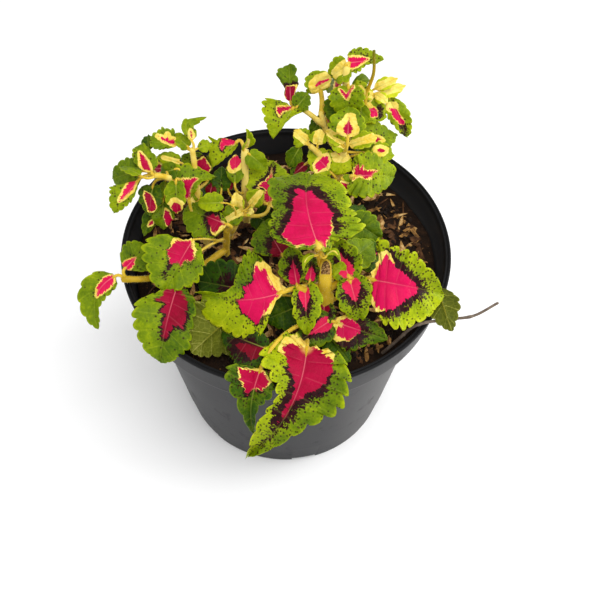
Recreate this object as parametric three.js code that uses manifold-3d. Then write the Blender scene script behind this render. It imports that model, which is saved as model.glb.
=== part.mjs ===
// A young coleus in a round plastic nursery pot: pot, soil with husks on it, seven leafy stems and one
// dry stalk lying over the rim. Millimetres, +Z up, origin at the middle of the pot's underside.
import * as THREE from 'three';
import { mergeVertices } from 'three/addons/utils/BufferGeometryUtils.js';
import Module from 'manifold-3d';

const wasm = await Module();
wasm.setup();

// ---- driving dimensions ----
const potHeight = 106;
const rimRadius = 70;
const baseRadius = 48;
const wall = 1.5;
const floorThickness = 3.2;
const neckRadius = 61.5;
const bandFootRadius = 67;
const bandHeight = 16.6;
const neckDrop = 3.4;
const lipWidth = 2.1;
const potSides = 40;
const bandFootHeight = potHeight - bandHeight;
const neckHeight = bandFootHeight - neckDrop;

const grooveCount = 6;
const grooveWidth = 11.5;
const grooveHeight = 1.8;
const grooveInnerRadius = 38;
const firstGrooveAngle = -75;
const drainRadius = 3.5;
const drainCircleRadius = 41;

const soilTop = 95.5;
const soilEdgeRadius = 64.6;
const soilRings = 5;
const reliefHeight = 1;
const clearance = 0.4;

const huskCount = 18;
const huskLength = [7, 11];
const huskWidth = [2.4, 3.4];
const huskReach = 58;

const stemRoot = 72;
const stemSides = 5;
const stalkRadius = 0.8;

const bladeThickness = 0.7;
const slimmestDetail = 0.03;
const ribRadius = 0.45;
const ribGrowth = 0.022;
const stalkSteps = 2;

// ---- small helpers ----
const vec = (p) => new THREE.Vector3(...p);
const radians = THREE.MathUtils.degToRad;

// A seeded random number maker, so that every build is the same.
function seededRandom(seed) {
  let state = seed;
  return () => {
    state = (state * 1664525 + 1013904223) % 4294967296;
    return state / 4294967296;
  };
}

function toSolid(geometry) {
  const bare = new THREE.BufferGeometry();
  bare.setAttribute('position', geometry.attributes.position.clone());
  bare.setIndex(geometry.index);
  const merged = mergeVertices(bare, 1e-4);
  const corners = [];
  for (let i = 0; i < merged.index.count; i += 3) {
    const triangle = merged.index.array.slice(i, i + 3);
    if (new Set(triangle).size === 3) corners.push(...triangle);
  }
  return new wasm.Manifold(new wasm.Mesh({
    numProp: 3,
    vertProperties: new Float32Array(merged.attributes.position.array),
    triVerts: new Uint32Array(corners),
  }));
}

function toGeometry(solid) {
  const mesh = solid.getMesh();
  const geometry = new THREE.BufferGeometry();
  geometry.setAttribute('position', new THREE.BufferAttribute(mesh.vertProperties, 3));
  geometry.setIndex(new THREE.BufferAttribute(mesh.triVerts, 1));
  geometry.computeVertexNormals();
  return geometry;
}

function lathe(profile, sides) {
  const points = profile.map(([radius, height]) => new THREE.Vector2(radius, height));
  return new THREE.LatheGeometry(points, sides).rotateX(Math.PI / 2);
}

const smoothCurve = (points) => new THREE.CatmullRomCurve3(points, false, 'centripetal');

// A round bar along a curve.
function bar(curve, radius, sides, steps) {
  const corners = Array.from({ length: sides }, (_, i) => {
    const angle = (2 * Math.PI * i) / sides;
    return new THREE.Vector2(radius * Math.cos(angle), radius * Math.sin(angle));
  });
  return toSolid(new THREE.ExtrudeGeometry(new THREE.Shape(corners), {
    steps,
    bevelEnabled: false,
    extrudePath: curve,
  }));
}

// ---- leaf blades ----
// Half outlines of a blade: [share of the length along the midrib, share of the half width].
const HEART = [
  [0, 0], [-0.07, 0.3], [-0.03, 0.68], [0.12, 0.95], [0.3, 1], [0.48, 0.88],
  [0.65, 0.64], [0.8, 0.36], [0.92, 0.14], [1, 0],
];
const WEDGE = [
  [0, 0], [0.04, 0.2], [0.12, 0.5], [0.24, 0.84], [0.38, 1], [0.54, 0.9],
  [0.69, 0.64], [0.82, 0.36], [0.93, 0.14], [1, 0],
];
const SLIM = [
  [0, 0], [0.06, 0.26], [0.16, 0.6], [0.3, 0.92], [0.46, 1], [0.6, 0.86],
  [0.74, 0.58], [0.86, 0.3], [0.94, 0.12], [1, 0],
];

// Leaves turn their upper faces to the light, which comes from the front and above.
const light = new THREE.Vector3(0, -0.585, 0.811);
const ribRows = 4;
const veinSweep = 1.8;
const toothDepth = 0.06;
const edgeDroop = 0.08;
const edgeWave = 0.02;
const edgeWaveStep = 1.3;

function outlinePoint(outline, share, teeth) {
  const curve = new THREE.SplineCurve(outline.map(([along, across]) => new THREE.Vector2(along, across)));
  const point = curve.getPoint(share);
  const lobe = Math.abs(Math.sin(Math.PI * teeth * share));
  const reach = toothDepth * (lobe - 0.5) * Math.sin(Math.PI * share) ** 0.5;
  return [point.x + 0.5 * reach, point.y * (1 + 2 * reach)];
}

// The blade's mid surface: the place at a share of the length along the midrib and at a distance
// across it, and the direction that the upper face looks in there.
function bladeSurface({ base, tip, width, mid, roll = 0, arch = 1, fold = 8 }) {
  const start = vec(base);
  const end = vec(tip);
  const chord = end.clone().sub(start).normalize();
  const up = light.clone().addScaledVector(chord, -light.dot(chord)).normalize()
    .applyAxisAngle(chord, radians(roll));
  const middle = mid ? vec(mid) : start.clone().lerp(end, 0.5).addScaledVector(up, arch);
  return (along, across, lift = 0) => {
    const centre = start.clone().multiplyScalar((1 - along) * (1 - 2 * along))
      .addScaledVector(middle, 4 * along * (1 - along))
      .addScaledVector(end, along * (2 * along - 1));
    const heading = start.clone().multiplyScalar(4 * along - 3)
      .addScaledVector(middle, 4 - 8 * along)
      .addScaledVector(end, 4 * along - 1).normalize();
    const normal = up.clone().addScaledVector(heading, -up.dot(heading)).normalize();
    const tilt = -radians(fold) * Math.sign(across);
    const outward = heading.clone().cross(normal).applyAxisAngle(heading, tilt);
    const facing = normal.clone().applyAxisAngle(heading, tilt);
    const rise = lift - (edgeDroop * across * across) / (width / 2);
    centre.addScaledVector(outward, across).addScaledVector(facing, rise);
    return { place: centre, facing, heading };
  };
}

// The rings of four corners (top, right, bottom, left) along a leaf's stalk, from the stem to the blade.
function stalkRings(root, base, heading, up, radius) {
  const reach = root.distanceTo(base) / 2;
  const path = new THREE.QuadraticBezierCurve3(root, base.clone().addScaledVector(heading, -reach), base);
  const rings = [];
  let top = up.clone();
  for (let i = stalkSteps; i >= 0; i -= 1) {
    const tangent = path.getTangent(i / stalkSteps);
    top = top.clone().addScaledVector(tangent, -top.dot(tangent)).normalize();
    const right = tangent.clone().cross(top);
    const centre = path.getPoint(i / stalkSteps);
    rings.unshift([top, right, top, right].map((direction, corner) => (
      centre.clone().addScaledVector(direction, corner < 2 ? radius : -radius))));
  }
  return rings;
}

// A leaf in one skin: its stalk, and its blade, alike on both faces, which is a fan of strips from the
// midrib to the toothed edge on each side. The stalk's last ring is the foot of the midrib.
function leafSolid(row, root) {
  const { base, width, outline = HEART, teeth = 3 } = row;
  const surface = bladeSurface(row);
  const strips = 2 * teeth + 1;
  const stalkThickness = ribRadius + ribGrowth * width;
  const places = [];
  const index = [];
  const addPlace = (place) => places.push(...place.toArray()) / 3 - 1;
  const addPair = (along, across, lift, depth) => {
    const { place, facing } = surface(along, across, lift);
    return [depth, -depth].map((offset) => addPlace(place.clone().addScaledVector(facing, offset)));
  };
  const quad = (a, b, c, d) => index.push(a, b, c, a, c, d);

  const { facing, heading } = surface(0, 0);
  const rings = stalkRings(root, vec(base), heading, facing, stalkThickness)
    .map((ring) => ring.map(addPlace));
  const [top, right, bottom, left] = rings[0];
  quad(top, left, bottom, right);
  rings.slice(1).forEach((ring, i) => {
    ring.forEach((corner, k) => {
      const next = (k + 1) % ring.length;
      quad(rings[i][k], rings[i][next], ring[next], corner);
    });
  });

  const [footTop, footRight, footBottom, footLeft] = rings.at(-1);
  const rows = Math.min(ribRows, teeth + 1);
  const rib = Array.from({ length: strips + 1 }, (_, i) => {
    const along = (Math.round((i * rows) / strips) / rows) ** veinSweep;
    if (along === 0) return [footTop, footBottom];
    return addPair(along, 0, 0, THREE.MathUtils.lerp(stalkThickness, bladeThickness / 2, Math.min(1, 3 * along)));
  });
  [1, -1].forEach((hand) => {
    const foot = hand > 0 ? footRight : footLeft;
    const edge = rib.map((pair, i) => {
      if (i === 0) return [foot, foot];
      if (i === strips) return pair;
      const [along, across] = outlinePoint(outline, i / strips, teeth);
      const lift = edgeWave * width * Math.sin(edgeWaveStep * i + hand);
      return addPair(along, (hand * across * width) / 2, lift, bladeThickness / 2);
    });
    for (let i = 0; i < strips; i += 1) {
      const [ribA, ribB] = hand > 0 ? [rib[i], rib[i + 1]] : [rib[i + 1], rib[i]];
      const [edgeA, edgeB] = hand > 0 ? [edge[i], edge[i + 1]] : [edge[i + 1], edge[i]];
      quad(ribA[0], edgeA[0], edgeB[0], ribB[0]);
      quad(ribA[1], ribB[1], edgeB[1], edgeA[1]);
      quad(edgeA[0], edgeA[1], edgeB[1], edgeB[0]);
    }
  });
  const geometry = new THREE.BufferGeometry();
  geometry.setAttribute('position', new THREE.Float32BufferAttribute(places, 3));
  geometry.setIndex(index);
  return toSolid(geometry);
}

// ---- the seven leafy stems ----
// rooted(x, y, path, radius) is a main stem, straight up out of the soil and then along the path;
// shoot(path, radius) is a side shoot. leaf(from, base, tip, width, form) is a leaf: where its stalk
// leaves the stem, where its blade starts, its tip, its width, and how it differs from a plain leaf.
const rooted = (x, y, path, radius) => ({
  path: [[x, y, stemRoot], [x, y, soilTop], [x, y, soilTop + 4], ...path],
  radius,
});
const shoot = (path, radius) => ({ path, radius });
const leaf = (from, base, tip, width, form = {}) => ({ from, base, tip, width, ...form });

const frontPlant = {
  stems: [
    rooted(16, -33, [[16, -32, 131]], 2.8),
    shoot([[15, -33, 120], [12.5, -36, 133], [12, -35, 147]], 1.9),
    shoot([[16, -33, 117], [9, -36, 122], [5, -36, 124.5]], 1.4),
    shoot([[16, -33, 117], [22, -31, 122], [27, -30, 124.5]], 1.4),
    shoot([[16, -33, 102], [15, -38, 106], [14, -42, 110]], 1.3),
    shoot([[16, -33, 104], [19, -20, 111], [22, -12, 115]], 1.3),
  ],
  leaves: [
    leaf([12, -35, 145], [12, -34, 147], [13, 8, 143], 36, { teeth: 8, arch: 5, fold: -6 }),
    leaf([17, -33, 121], [33, -32, 124], [64, -30, 119], 38, { teeth: 8, arch: 4, fold: 4 }),
    leaf([14, -33, 121], [-2, -39, 124], [-33, -35, 117], 35, { outline: WEDGE, teeth: 8, arch: 4, fold: -10 }),
    leaf([16, -34, 104], [10, -56, 113], [-13, -82, 77], 37, { teeth: 8, mid: [4, -73.5, 107], fold: 6 }),
    leaf([14, -33, 109], [-20, -43, 116], [-37, -59, 109], 26, { outline: WEDGE, teeth: 6, roll: 165 }),
    leaf([18, -33, 106], [54, -32, 119], [67, -45, 106], 20, { outline: WEDGE, teeth: 5, roll: 180 }),
    leaf([12, -35, 140], [15, -34, 142], [21, -37, 139], 6, { outline: SLIM, teeth: 2 }),
    leaf([5, -36, 124], [5, -34, 125], [2, -19, 129], 11, { outline: WEDGE, fold: 14 }),
    leaf([5, -36, 124], [7, -39, 123.5], [8, -52, 112], 10, { arch: 3, fold: 20 }),
    leaf([27, -30, 124], [26, -28, 125], [18, -14, 130], 13, { fold: 12 }),
    leaf([26, -30, 124], [27, -32, 123.5], [30, -46, 113], 13, { arch: 3, fold: 14 }),
    leaf([22, -12, 115], [30, -15, 116], [43, -6, 112], 14, { teeth: 5 }),
    leaf([22, -12, 115], [27, 5, 117], [40, 1, 110], 14, { teeth: 5 }),
    leaf([21, -13, 115], [25, 3, 117], [33, 19, 111], 10),
    leaf([26, -30, 122], [26, -21, 123], [36, -8, 119], 12),
    leaf([14, -42, 110], [13, -43, 111], [5, -52, 108], 12),
    leaf([14, -42, 110], [20, -43, 111], [43, -49, 108], 20, { teeth: 5 }),
    leaf([15, -41, 106], [17, -44, 105], [27, -55, 101], 11),
    leaf([16, -33, 108], [5, -36, 111], [-8, -40, 107], 14, { teeth: 5 }),
    leaf([16, -36, 104], [-8, -55, 111], [-24, -50, 110], 14, { teeth: 5, fold: 25 }),
    leaf([15, -40, 104], [-9, -65, 111], [-11, -80, 83], 18, { teeth: 5, mid: [-10, -75, 103], fold: 35 }),
    leaf([16, -33, 106], [-17, -27, 110], [-37, -20, 107], 17, { teeth: 5 }),
    leaf([16, -33, 112], [-1, -17, 120], [-10, 3, 118], 15, { outline: WEDGE, teeth: 5 }),
  ],
};

const lowLeftPlant = {
  stems: [
    rooted(-26, 2, [[-25, 1, 115]], 2),
    shoot([[-26, 2, 104], [-40, -15, 109], [-57, -23, 110.5], [-66, -25, 112]], 1.6),
  ],
  leaves: [
    leaf([-25, 1, 111], [-38, -12, 122], [-53, -29, 115], 24, { teeth: 7, arch: 3 }),
    leaf([-26, 1, 108], [-43, -28, 115], [-50, -59, 101], 26, { teeth: 7, mid: [-46, -48, 112.5] }),
    leaf([-64, -25, 112], [-65, -22, 115], [-57, -8, 113], 15, { outline: WEDGE, teeth: 5, fold: 20 }),
    leaf([-65, -25, 112], [-68, -26, 113], [-76, -41, 98], 13, { outline: WEDGE, teeth: 5, mid: [-78, -33, 108] }),
    leaf([-25, 1, 113], [-25, -1, 119], [-44, 6, 119.5], 19, { outline: WEDGE, teeth: 5 }),
  ],
};

const middlePlant = {
  stems: [
    rooted(-25, 11, [[-22, 10, 110], [-17, 9, 118]], 1.6),
  ],
  leaves: [
    leaf([-18, 9, 116], [-8, 11, 118], [-4, 31, 127], 20, { teeth: 6, arch: 2 }),
    leaf([-17, 9, 117.5], [-16, 11, 119], [-13, 18, 121], 7, { outline: WEDGE }),
    leaf([-22, 10, 110], [-27, 6.5, 127], [-37, 3.5, 125], 7),
    leaf([-18, 9, 116.5], [-18, 8, 118.5], [-28, 4, 115], 9, { outline: WEDGE, fold: 16 }),
    leaf([-24, 11, 104], [-14, 15, 107], [-6, 12, 104], 11),
  ],
};

const tallLeftPlant = {
  stems: [
    rooted(-18, 20, [[-18, 20, 120], [-18, 21, 140]], 1.9),
  ],
  leaves: [
    leaf([-18, 21, 136.5], [-20.5, 21.5, 140], [-33, 19, 132], 15, { teeth: 5 }),
    leaf([-18, 21, 139], [-18, 22, 141], [-16, 24, 152], 8, { outline: SLIM, roll: 50, fold: 40 }),
    leaf([-18, 21, 136], [-16, 21, 138.5], [-9, 20, 131], 8),
    leaf([-18, 20, 120], [-22, 15, 126], [-22, 25, 134], 7, { outline: WEDGE }),
  ],
};

const leftPlant = {
  stems: [
    rooted(-35, 8, [[-39, 9, 118], [-46, 12, 133]], 1.9),
    shoot([[-44, 11, 129], [-49, 11, 134], [-54, 9, 137.5]], 1.3),
    shoot([[-37.5, 9, 112], [-38, 15, 130], [-39, 19, 143]], 1.4),
  ],
  leaves: [
    leaf([-38, 14, 125], [-34, 18.5, 129], [-45, 24, 132.5], 12),
    leaf([-38, 9, 113], [-41, 10, 121], [-29, 19, 126], 14, { teeth: 4, mid: [-41, 15, 128] }),
    leaf([-37, 9, 110], [-34, 12, 121], [-30, 23, 120], 8),
    leaf([-43, 10, 126], [-46, 4, 126], [-48, 12, 131], 9, { roll: 180 }),
    leaf([-53, 9, 137], [-61, 9, 134], [-72, -3, 126], 13, { outline: WEDGE, teeth: 5 }),
    leaf([-53, 9, 137], [-61, 12, 136], [-73, 14, 129], 12, { teeth: 5 }),
    leaf([-53, 9, 137], [-59, 7, 139], [-68, 11, 139], 8, { outline: WEDGE, roll: 60 }),
    leaf([-53, 9, 137], [-54, 11, 139], [-61, 24, 143], 12, { outline: WEDGE, teeth: 5 }),
    leaf([-39, 19, 142], [-46, 22, 142], [-57, 20, 146], 11, { teeth: 5 }),
    leaf([-39, 19, 142], [-39, 20, 146], [-33, 28, 153], 9, { mid: [-41, 25, 151] }),
    leaf([-42, 10.5, 125], [-45, 18, 136], [-54, 19, 138], 7),
    leaf([-44, 11, 129], [-46, 14, 136], [-53, 15, 131], 8),
    leaf([-46, 12, 132], [-56, 12, 127], [-57, 2, 120], 10, { fold: 14 }),
    leaf([-44, 11, 128], [-54, 10, 120], [-61, 0, 109], 9, { fold: 14 }),
    leaf([-43, 11, 126], [-52, 9, 122], [-52, 1, 113], 10, { outline: WEDGE }),
    leaf([-37, 8.5, 112], [-28, 16, 122], [-28, 24, 128], 8),
  ],
};

const backPlant = {
  stems: [
    rooted(22, 37, [[23, 39, 130], [23, 43, 150], [23, 45, 164]], 2),
    shoot([[23, 38, 128], [29, 40, 139], [34, 46, 149]], 1.4),
    shoot([[22, 37, 122], [16, 38, 134], [13, 41, 144]], 1.3),
    shoot([[15, 39, 138], [8, 39, 145], [3, 39, 149]], 1.1),
    shoot([[31, 42, 144], [32, 45, 152], [33, 47, 161], [34, 49, 171]], 1),
  ],
  leaves: [
    leaf([23, 45, 162], [24, 46, 165], [38, 51, 164], 12, { teeth: 6 }),
    leaf([23, 45, 160], [22, 46, 164], [16, 48, 156], 10),
    leaf([13, 41, 143], [12, 44, 150], [9, 51, 158], 10, { fold: 20 }),
    leaf([23, 43, 152], [24, 42, 157], [25, 37, 145], 15, { teeth: 5, fold: 14 }),
    leaf([29, 40, 139], [31, 42, 146], [41, 43, 141], 12),
    leaf([34, 46, 149], [41, 48, 147], [51, 41, 130], 12, { outline: WEDGE, teeth: 5 }),
    leaf([34, 46, 148], [38, 46, 149], [49, 45, 151], 6, { outline: SLIM }),
    leaf([4, 39, 148], [1, 40, 150], [-6, 49, 160], 9, { fold: 20 }),
    leaf([4, 39, 148], [2, 38, 149], [-7, 29, 140], 16, { teeth: 6 }),
    leaf([14, 40, 141], [14, 43, 143], [20, 46, 145], 8, { roll: 150 }),
    leaf([23, 43, 148], [30, 44, 150], [28, 49, 155], 8),
    leaf([29, 40, 139], [30, 42, 149], [29, 33, 140], 8, { outline: SLIM }),
    leaf([23, 43, 146], [23, 44, 149], [19, 37, 138], 14, { teeth: 5 }),
  ],
};

const lowBackPlant = {
  stems: [
    rooted(20, 22, [[22, 26, 120], [23, 28, 136]], 1.9),
    shoot([[21, 24, 110], [25, 21, 121], [27, 19, 129]], 1.4),
    shoot([[22.5, 26.5, 122], [14, 27, 132], [9, 27, 138]], 1.2),
  ],
  leaves: [
    leaf([23, 28, 135], [26, 31.5, 136], [46, 40.5, 132], 14, { outline: WEDGE, teeth: 5 }),
    leaf([23, 28, 135], [24, 25, 146], [25, 31, 153], 11, { outline: WEDGE }),
    leaf([27, 19, 127], [28, 19, 129.5], [45, 22, 123], 24, { teeth: 7, arch: 3 }),
    leaf([26, 20, 125], [23, 18, 128], [36, 14, 121], 10),
    leaf([23, 28, 134], [34, 28, 134], [45, 30, 130], 8, { outline: WEDGE }),
    leaf([23, 28, 132], [24, 28, 134], [20, 21, 127], 11, { outline: WEDGE }),
    leaf([21, 24, 115], [19, 23, 128], [9, 30, 134], 11, { teeth: 5 }),
    leaf([9, 27, 137], [8, 29, 138], [2, 31.5, 142], 9, { outline: WEDGE }),
    leaf([12, 27, 134.5], [12, 28, 138], [13, 32, 143], 7, { outline: WEDGE }),
    leaf([9, 27, 137], [5, 28, 137], [0, 24, 128], 7, { outline: WEDGE }),
    leaf([23, 28, 135], [22, 29, 139], [15, 30, 144], 5, { outline: SLIM, teeth: 2 }),
  ],
};

// The nearest place to a point on the middle lines of some stems.
function nearestOn(curves, point) {
  const places = curves.flatMap((curve) => curve.getPoints(60));
  return places.reduce((best, place) => (
    place.distanceTo(point) < best.distanceTo(point) ? place : best));
}

// Side shoots and leaf stalks start on the middle line of the stem that bears them.
function plantSolid({ stems, leaves }) {
  const curves = [];
  const solids = stems.map(({ path, radius }, i) => {
    const points = path.map(vec);
    if (i > 0) points[0] = nearestOn(curves, points[0]);
    curves.push(smoothCurve(points));
    return bar(curves[i], radius, stemSides, 2 * points.length - 2);
  });
  leaves.forEach((row) => solids.push(leafSolid(row, nearestOn(curves, vec(row.from)))));
  return wasm.Manifold.union(solids).simplify(slimmestDetail);
}

// ---- dry stalk: out of the soil at the front right and over the rim ----
const stalkPath = [
  [38, -46, 90], [43, -45, 97], [48, -43, 103], [51, -41.5, 106.2], [55, -40, 107.4], [66, -38, 108],
  [76, -37, 109.5], [86, -32, 112],
];
const stalkCurve = (path) => smoothCurve(path.map(vec));
const stalkSolid = () => bar(stalkCurve(stalkPath), stalkRadius, 6, 10);
const stalkHole = () => bar(stalkCurve([[35, -47, 85], ...stalkPath]), stalkRadius + clearance, 6, 14);

// ---- soil ----
const plants = {
  leafy_stem_front: frontPlant,
  leafy_stem_low_left: lowLeftPlant,
  leafy_stem_middle: middlePlant,
  leafy_stem_tall_left: tallLeftPlant,
  leafy_stem_left: leftPlant,
  leafy_stem_back: backPlant,
  leafy_stem_low_back: lowBackPlant,
};
const mainStems = Object.values(plants).map(({ stems }) => stems[0]);

// A plain hole for a stem that goes down into the soil, a little wider and deeper than the stem.
function stemHole({ path, radius }) {
  const [x, y] = path[0];
  const bottom = stemRoot - clearance;
  const height = soilTop + 10 - bottom;
  const hole = new THREE.CylinderGeometry(radius + clearance, radius + clearance, height, 2 * stemSides);
  return toSolid(hole.rotateX(Math.PI / 2).translate(x, y, bottom + height / 2));
}

function relief(x, y) {
  return reliefHeight * Math.sin(x / 6.1 + 1.3) * Math.cos(y / 5.3);
}

function soilPlug() {
  const rings = Array.from({ length: soilRings + 1 }, (_, i) => [
    soilEdgeRadius * (1 - i / soilRings), soilTop,
  ]);
  const plug = lathe([
    [0, floorThickness + clearance],
    [baseRadius - wall - 2.4, floorThickness + clearance],
    [baseRadius - wall - clearance, floorThickness + clearance + 0.6],
    [neckRadius - wall - clearance, neckHeight + wall + clearance],
    [neckRadius + 1.1 - clearance, bandFootHeight + 0.7],
    [bandFootRadius - 1.8 - clearance, bandFootHeight + 2.2],
    [bandFootRadius - 1.7, soilTop - 1],
    ...rings,
  ], potSides);
  const { position } = plug.attributes;
  for (let i = 0; i < position.count; i += 1) {
    const [x, y, z] = [position.getX(i), position.getY(i), position.getZ(i)];
    if (z > soilTop - 0.1) position.setZ(i, z + relief(x, y));
  }
  return toSolid(plug);
}

// Slim pointed husks lying half sunk on the soil, at places picked by rule, clear of the stems.
function husks() {
  const draw = seededRandom(11);
  const between = ([low, high]) => THREE.MathUtils.lerp(low, high, draw());
  const solids = [];
  while (solids.length < huskCount) {
    const reach = huskReach * Math.sqrt(draw());
    const angle = 2 * Math.PI * draw();
    const [x, y] = [reach * Math.cos(angle), reach * Math.sin(angle)];
    const [length, width, turn] = [between(huskLength), between(huskWidth), Math.PI * draw()];
    const room = (point) => Math.hypot(point[0] - x, point[1] - y) - length / 2 - 1.5;
    const clear = mainStems.every(({ path, radius }) => room(path[0]) > radius);
    if (clear && room(stalkPath[0]) > 4) {
      const spindle = lathe([[0, -0.5], [0.5, -0.18], [0.5, 0.18], [0, 0.5]], 4);
      spindle.scale(width, width * 0.6, length).rotateX(Math.PI / 2);
      solids.push(toSolid(spindle.rotateZ(turn).translate(x, y, soilTop + relief(x, y) + 0.1)));
    }
  }
  return wasm.Manifold.union(solids);
}

function soilSolid() {
  const holes = wasm.Manifold.union([...mainStems.map(stemHole), stalkHole()]);
  return soilPlug().add(husks()).subtract(holes);
}

// ---- pot ----
function potSolid() {
  const shell = toSolid(lathe([
    [0, 0],
    [baseRadius - 1.5, 0],
    [baseRadius, 1.5],
    [neckRadius, neckHeight],
    [neckRadius + 3, neckHeight + 2.2],
    [bandFootRadius, bandFootHeight],
    [rimRadius - 0.8, potHeight - 2],
    [rimRadius, potHeight - 1.7],
    [rimRadius, potHeight - 0.6],
    [rimRadius - 0.6, potHeight],
    [rimRadius - lipWidth, potHeight],
    [rimRadius - lipWidth - 0.5, potHeight - 0.8],
    [bandFootRadius - 1.8, bandFootHeight + 1.6],
    [neckRadius + 1.1, bandFootHeight + 0.2],
    [neckRadius - wall, neckHeight + wall],
    [baseRadius - wall + 0.1, floorThickness + 0.4],
    [baseRadius - wall - 2, floorThickness],
    [0, floorThickness],
  ], potSides));
  const cuts = Array.from({ length: grooveCount }, (_, i) => {
    const length = baseRadius + 5 - grooveInnerRadius;
    const groove = new THREE.BoxGeometry(length, grooveWidth, 2 * grooveHeight)
      .translate(grooveInnerRadius + length / 2, 0, 0);
    const drain = new THREE.CylinderGeometry(drainRadius, drainRadius, 20, 16)
      .rotateX(Math.PI / 2).translate(drainCircleRadius + drainRadius - 3.5, 0, 0);
    return toSolid(groove).add(toSolid(drain)).rotate([0, 0, firstGrooveAngle + (360 / grooveCount) * i]);
  });
  return shell.subtract(wasm.Manifold.union(cuts));
}

// ---- group ----
const group = new THREE.Group();

function addNode(name, solid, color, roughness) {
  const material = new THREE.MeshStandardMaterial({ color, roughness, metalness: 0 });
  const mesh = new THREE.Mesh(toGeometry(solid), material);
  mesh.name = name;
  group.add(mesh);
}

const leafColors = {
  leafy_stem_front: 0xa02e46,
  leafy_stem_low_left: 0x7c7a35,
  leafy_stem_middle: 0x9aa03c,
  leafy_stem_tall_left: 0x8f8a40,
  leafy_stem_left: 0x6f7f3c,
  leafy_stem_back: 0x8a7040,
  leafy_stem_low_back: 0x77833c,
};

addNode('pot', potSolid(), 0x55555a, 0.4);
addNode('soil', soilSolid(), 0x2a1d14, 0.95);
Object.entries(plants).forEach(([name, plant]) => addNode(name, plantSolid(plant), leafColors[name], 0.55));
addNode('dry_stalk', stalkSolid(), 0xa98a55, 0.8);

export default group;
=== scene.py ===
"""A young coleus in its nursery pot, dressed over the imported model. Metres, +Z up, origin under the pot."""

import math
from types import SimpleNamespace

import bmesh
import bpy
import numpy as np
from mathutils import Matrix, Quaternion, Vector, noise


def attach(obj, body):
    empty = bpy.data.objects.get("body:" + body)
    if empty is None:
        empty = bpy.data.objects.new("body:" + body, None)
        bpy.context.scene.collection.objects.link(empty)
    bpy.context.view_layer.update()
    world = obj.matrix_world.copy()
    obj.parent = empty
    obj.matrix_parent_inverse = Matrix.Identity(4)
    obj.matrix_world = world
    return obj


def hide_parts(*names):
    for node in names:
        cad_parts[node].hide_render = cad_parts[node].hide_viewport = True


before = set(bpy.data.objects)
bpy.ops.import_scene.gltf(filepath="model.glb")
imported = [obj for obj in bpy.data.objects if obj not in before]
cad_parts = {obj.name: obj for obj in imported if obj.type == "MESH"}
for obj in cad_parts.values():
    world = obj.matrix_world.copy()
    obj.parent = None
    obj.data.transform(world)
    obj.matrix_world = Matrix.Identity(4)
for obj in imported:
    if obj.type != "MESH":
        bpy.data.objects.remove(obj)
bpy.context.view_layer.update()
MM = 0.001  # shapes are worked out in millimetres and made in metres
SOIL_TOP = 95.5
STEM_ROOT = 72  # the height at which the stems begin, inside the soil


# ---- the leaves' own geometry ----
def edge(*between):
    """Half an outline from the stalk to the tip, each place as (share along, share of the half width)."""
    return ((0, 0), *between, (1, 0))


HEART = edge((-0.06, 0.3), (-0.02, 0.66), (0.12, 0.93), (0.3, 1), (0.5, 0.93),
             (0.68, 0.72), (0.83, 0.46), (0.94, 0.22))
WEDGE = edge((0.03, 0.18), (0.1, 0.48), (0.22, 0.82), (0.38, 1), (0.55, 0.95),
             (0.72, 0.73), (0.86, 0.44), (0.95, 0.2))
SLIM = edge((0.05, 0.24), (0.15, 0.6), (0.3, 0.92), (0.46, 1), (0.62, 0.86),
            (0.77, 0.58), (0.89, 0.3), (0.96, 0.12))

LIGHT = np.array([0, -0.585, 0.811])  # what the upper faces turn to
VEIN_SWEEP = 1.8  # how far the side veins of the tip half start down the midrib
TOOTH_DEPTH = 0.072
TEETH_SHOWN = 1.6  # teeth on a blade for each one that its row asks for
EDGE_DROOP = 0.08
EDGE_WAVE = 0.03
BLADE_THICKNESS = 0.34
RIB_RADIUS = 0.3
RIB_GROWTH = 0.022
RIB_END = 0.82  # the share of the blade at which the rib beneath it ends
STALK_TONE = 0.85
RIB_TONE = 0.3
FOLD_SOFTNESS = 1.2
QUILTING = 0.017  # height of the bulges between side veins, as a share of the leaf's width
CHANNEL_WIDTH = 0.7
PUCKERED_BELOW = 18  # leaves narrower than this are more puckered
FINE_BELOW = 22  # leaves narrower than this have finer edges to their patches
GOLDEN_SHARE = 0.618  # spreads the seeds of neighbouring leaves
KNOT_REACH = 2.5  # a stalk that springs so near to a stem makes a knot in it


def unit(vectors):
    vectors = np.asarray(vectors, float)
    return vectors / np.linalg.norm(vectors, axis=-1, keepdims=True)


def channel_depth(width):
    """How deep the midrib lies below the blade's upper face."""
    return 0.25 * min(1, width / 16)


def turned(vector, axis, degrees):
    angle = math.radians(degrees)
    crossed = np.cross(axis, vector)
    kept = axis * (axis @ vector) * (1 - math.cos(angle))
    return vector * math.cos(angle) + crossed * math.sin(angle) + kept


def cubic(here, after, leave, arrive, share):
    """A place on the curve between two points that leaves and arrives with the given slopes."""
    return ((2 * here - 2 * after + leave + arrive) * share ** 3
            + (3 * after - 3 * here - 2 * leave - arrive) * share ** 2 + leave * share + here)


def spline_point(points, shares):
    """Points at shares of a uniform Catmull-Rom curve through the given points."""
    points = np.asarray(points, float)
    last = len(points) - 1
    reach = np.clip(np.asarray(shares, float), 0, 1) * last
    start = np.minimum(reach.astype(int), last - 1)
    part = (reach - start)[..., None]
    before, here = points[np.maximum(start - 1, 0)], points[start]
    after, beyond = points[start + 1], points[np.minimum(start + 2, last)]
    return cubic(here, after, (after - before) / 2, (beyond - here) / 2, part)


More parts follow.
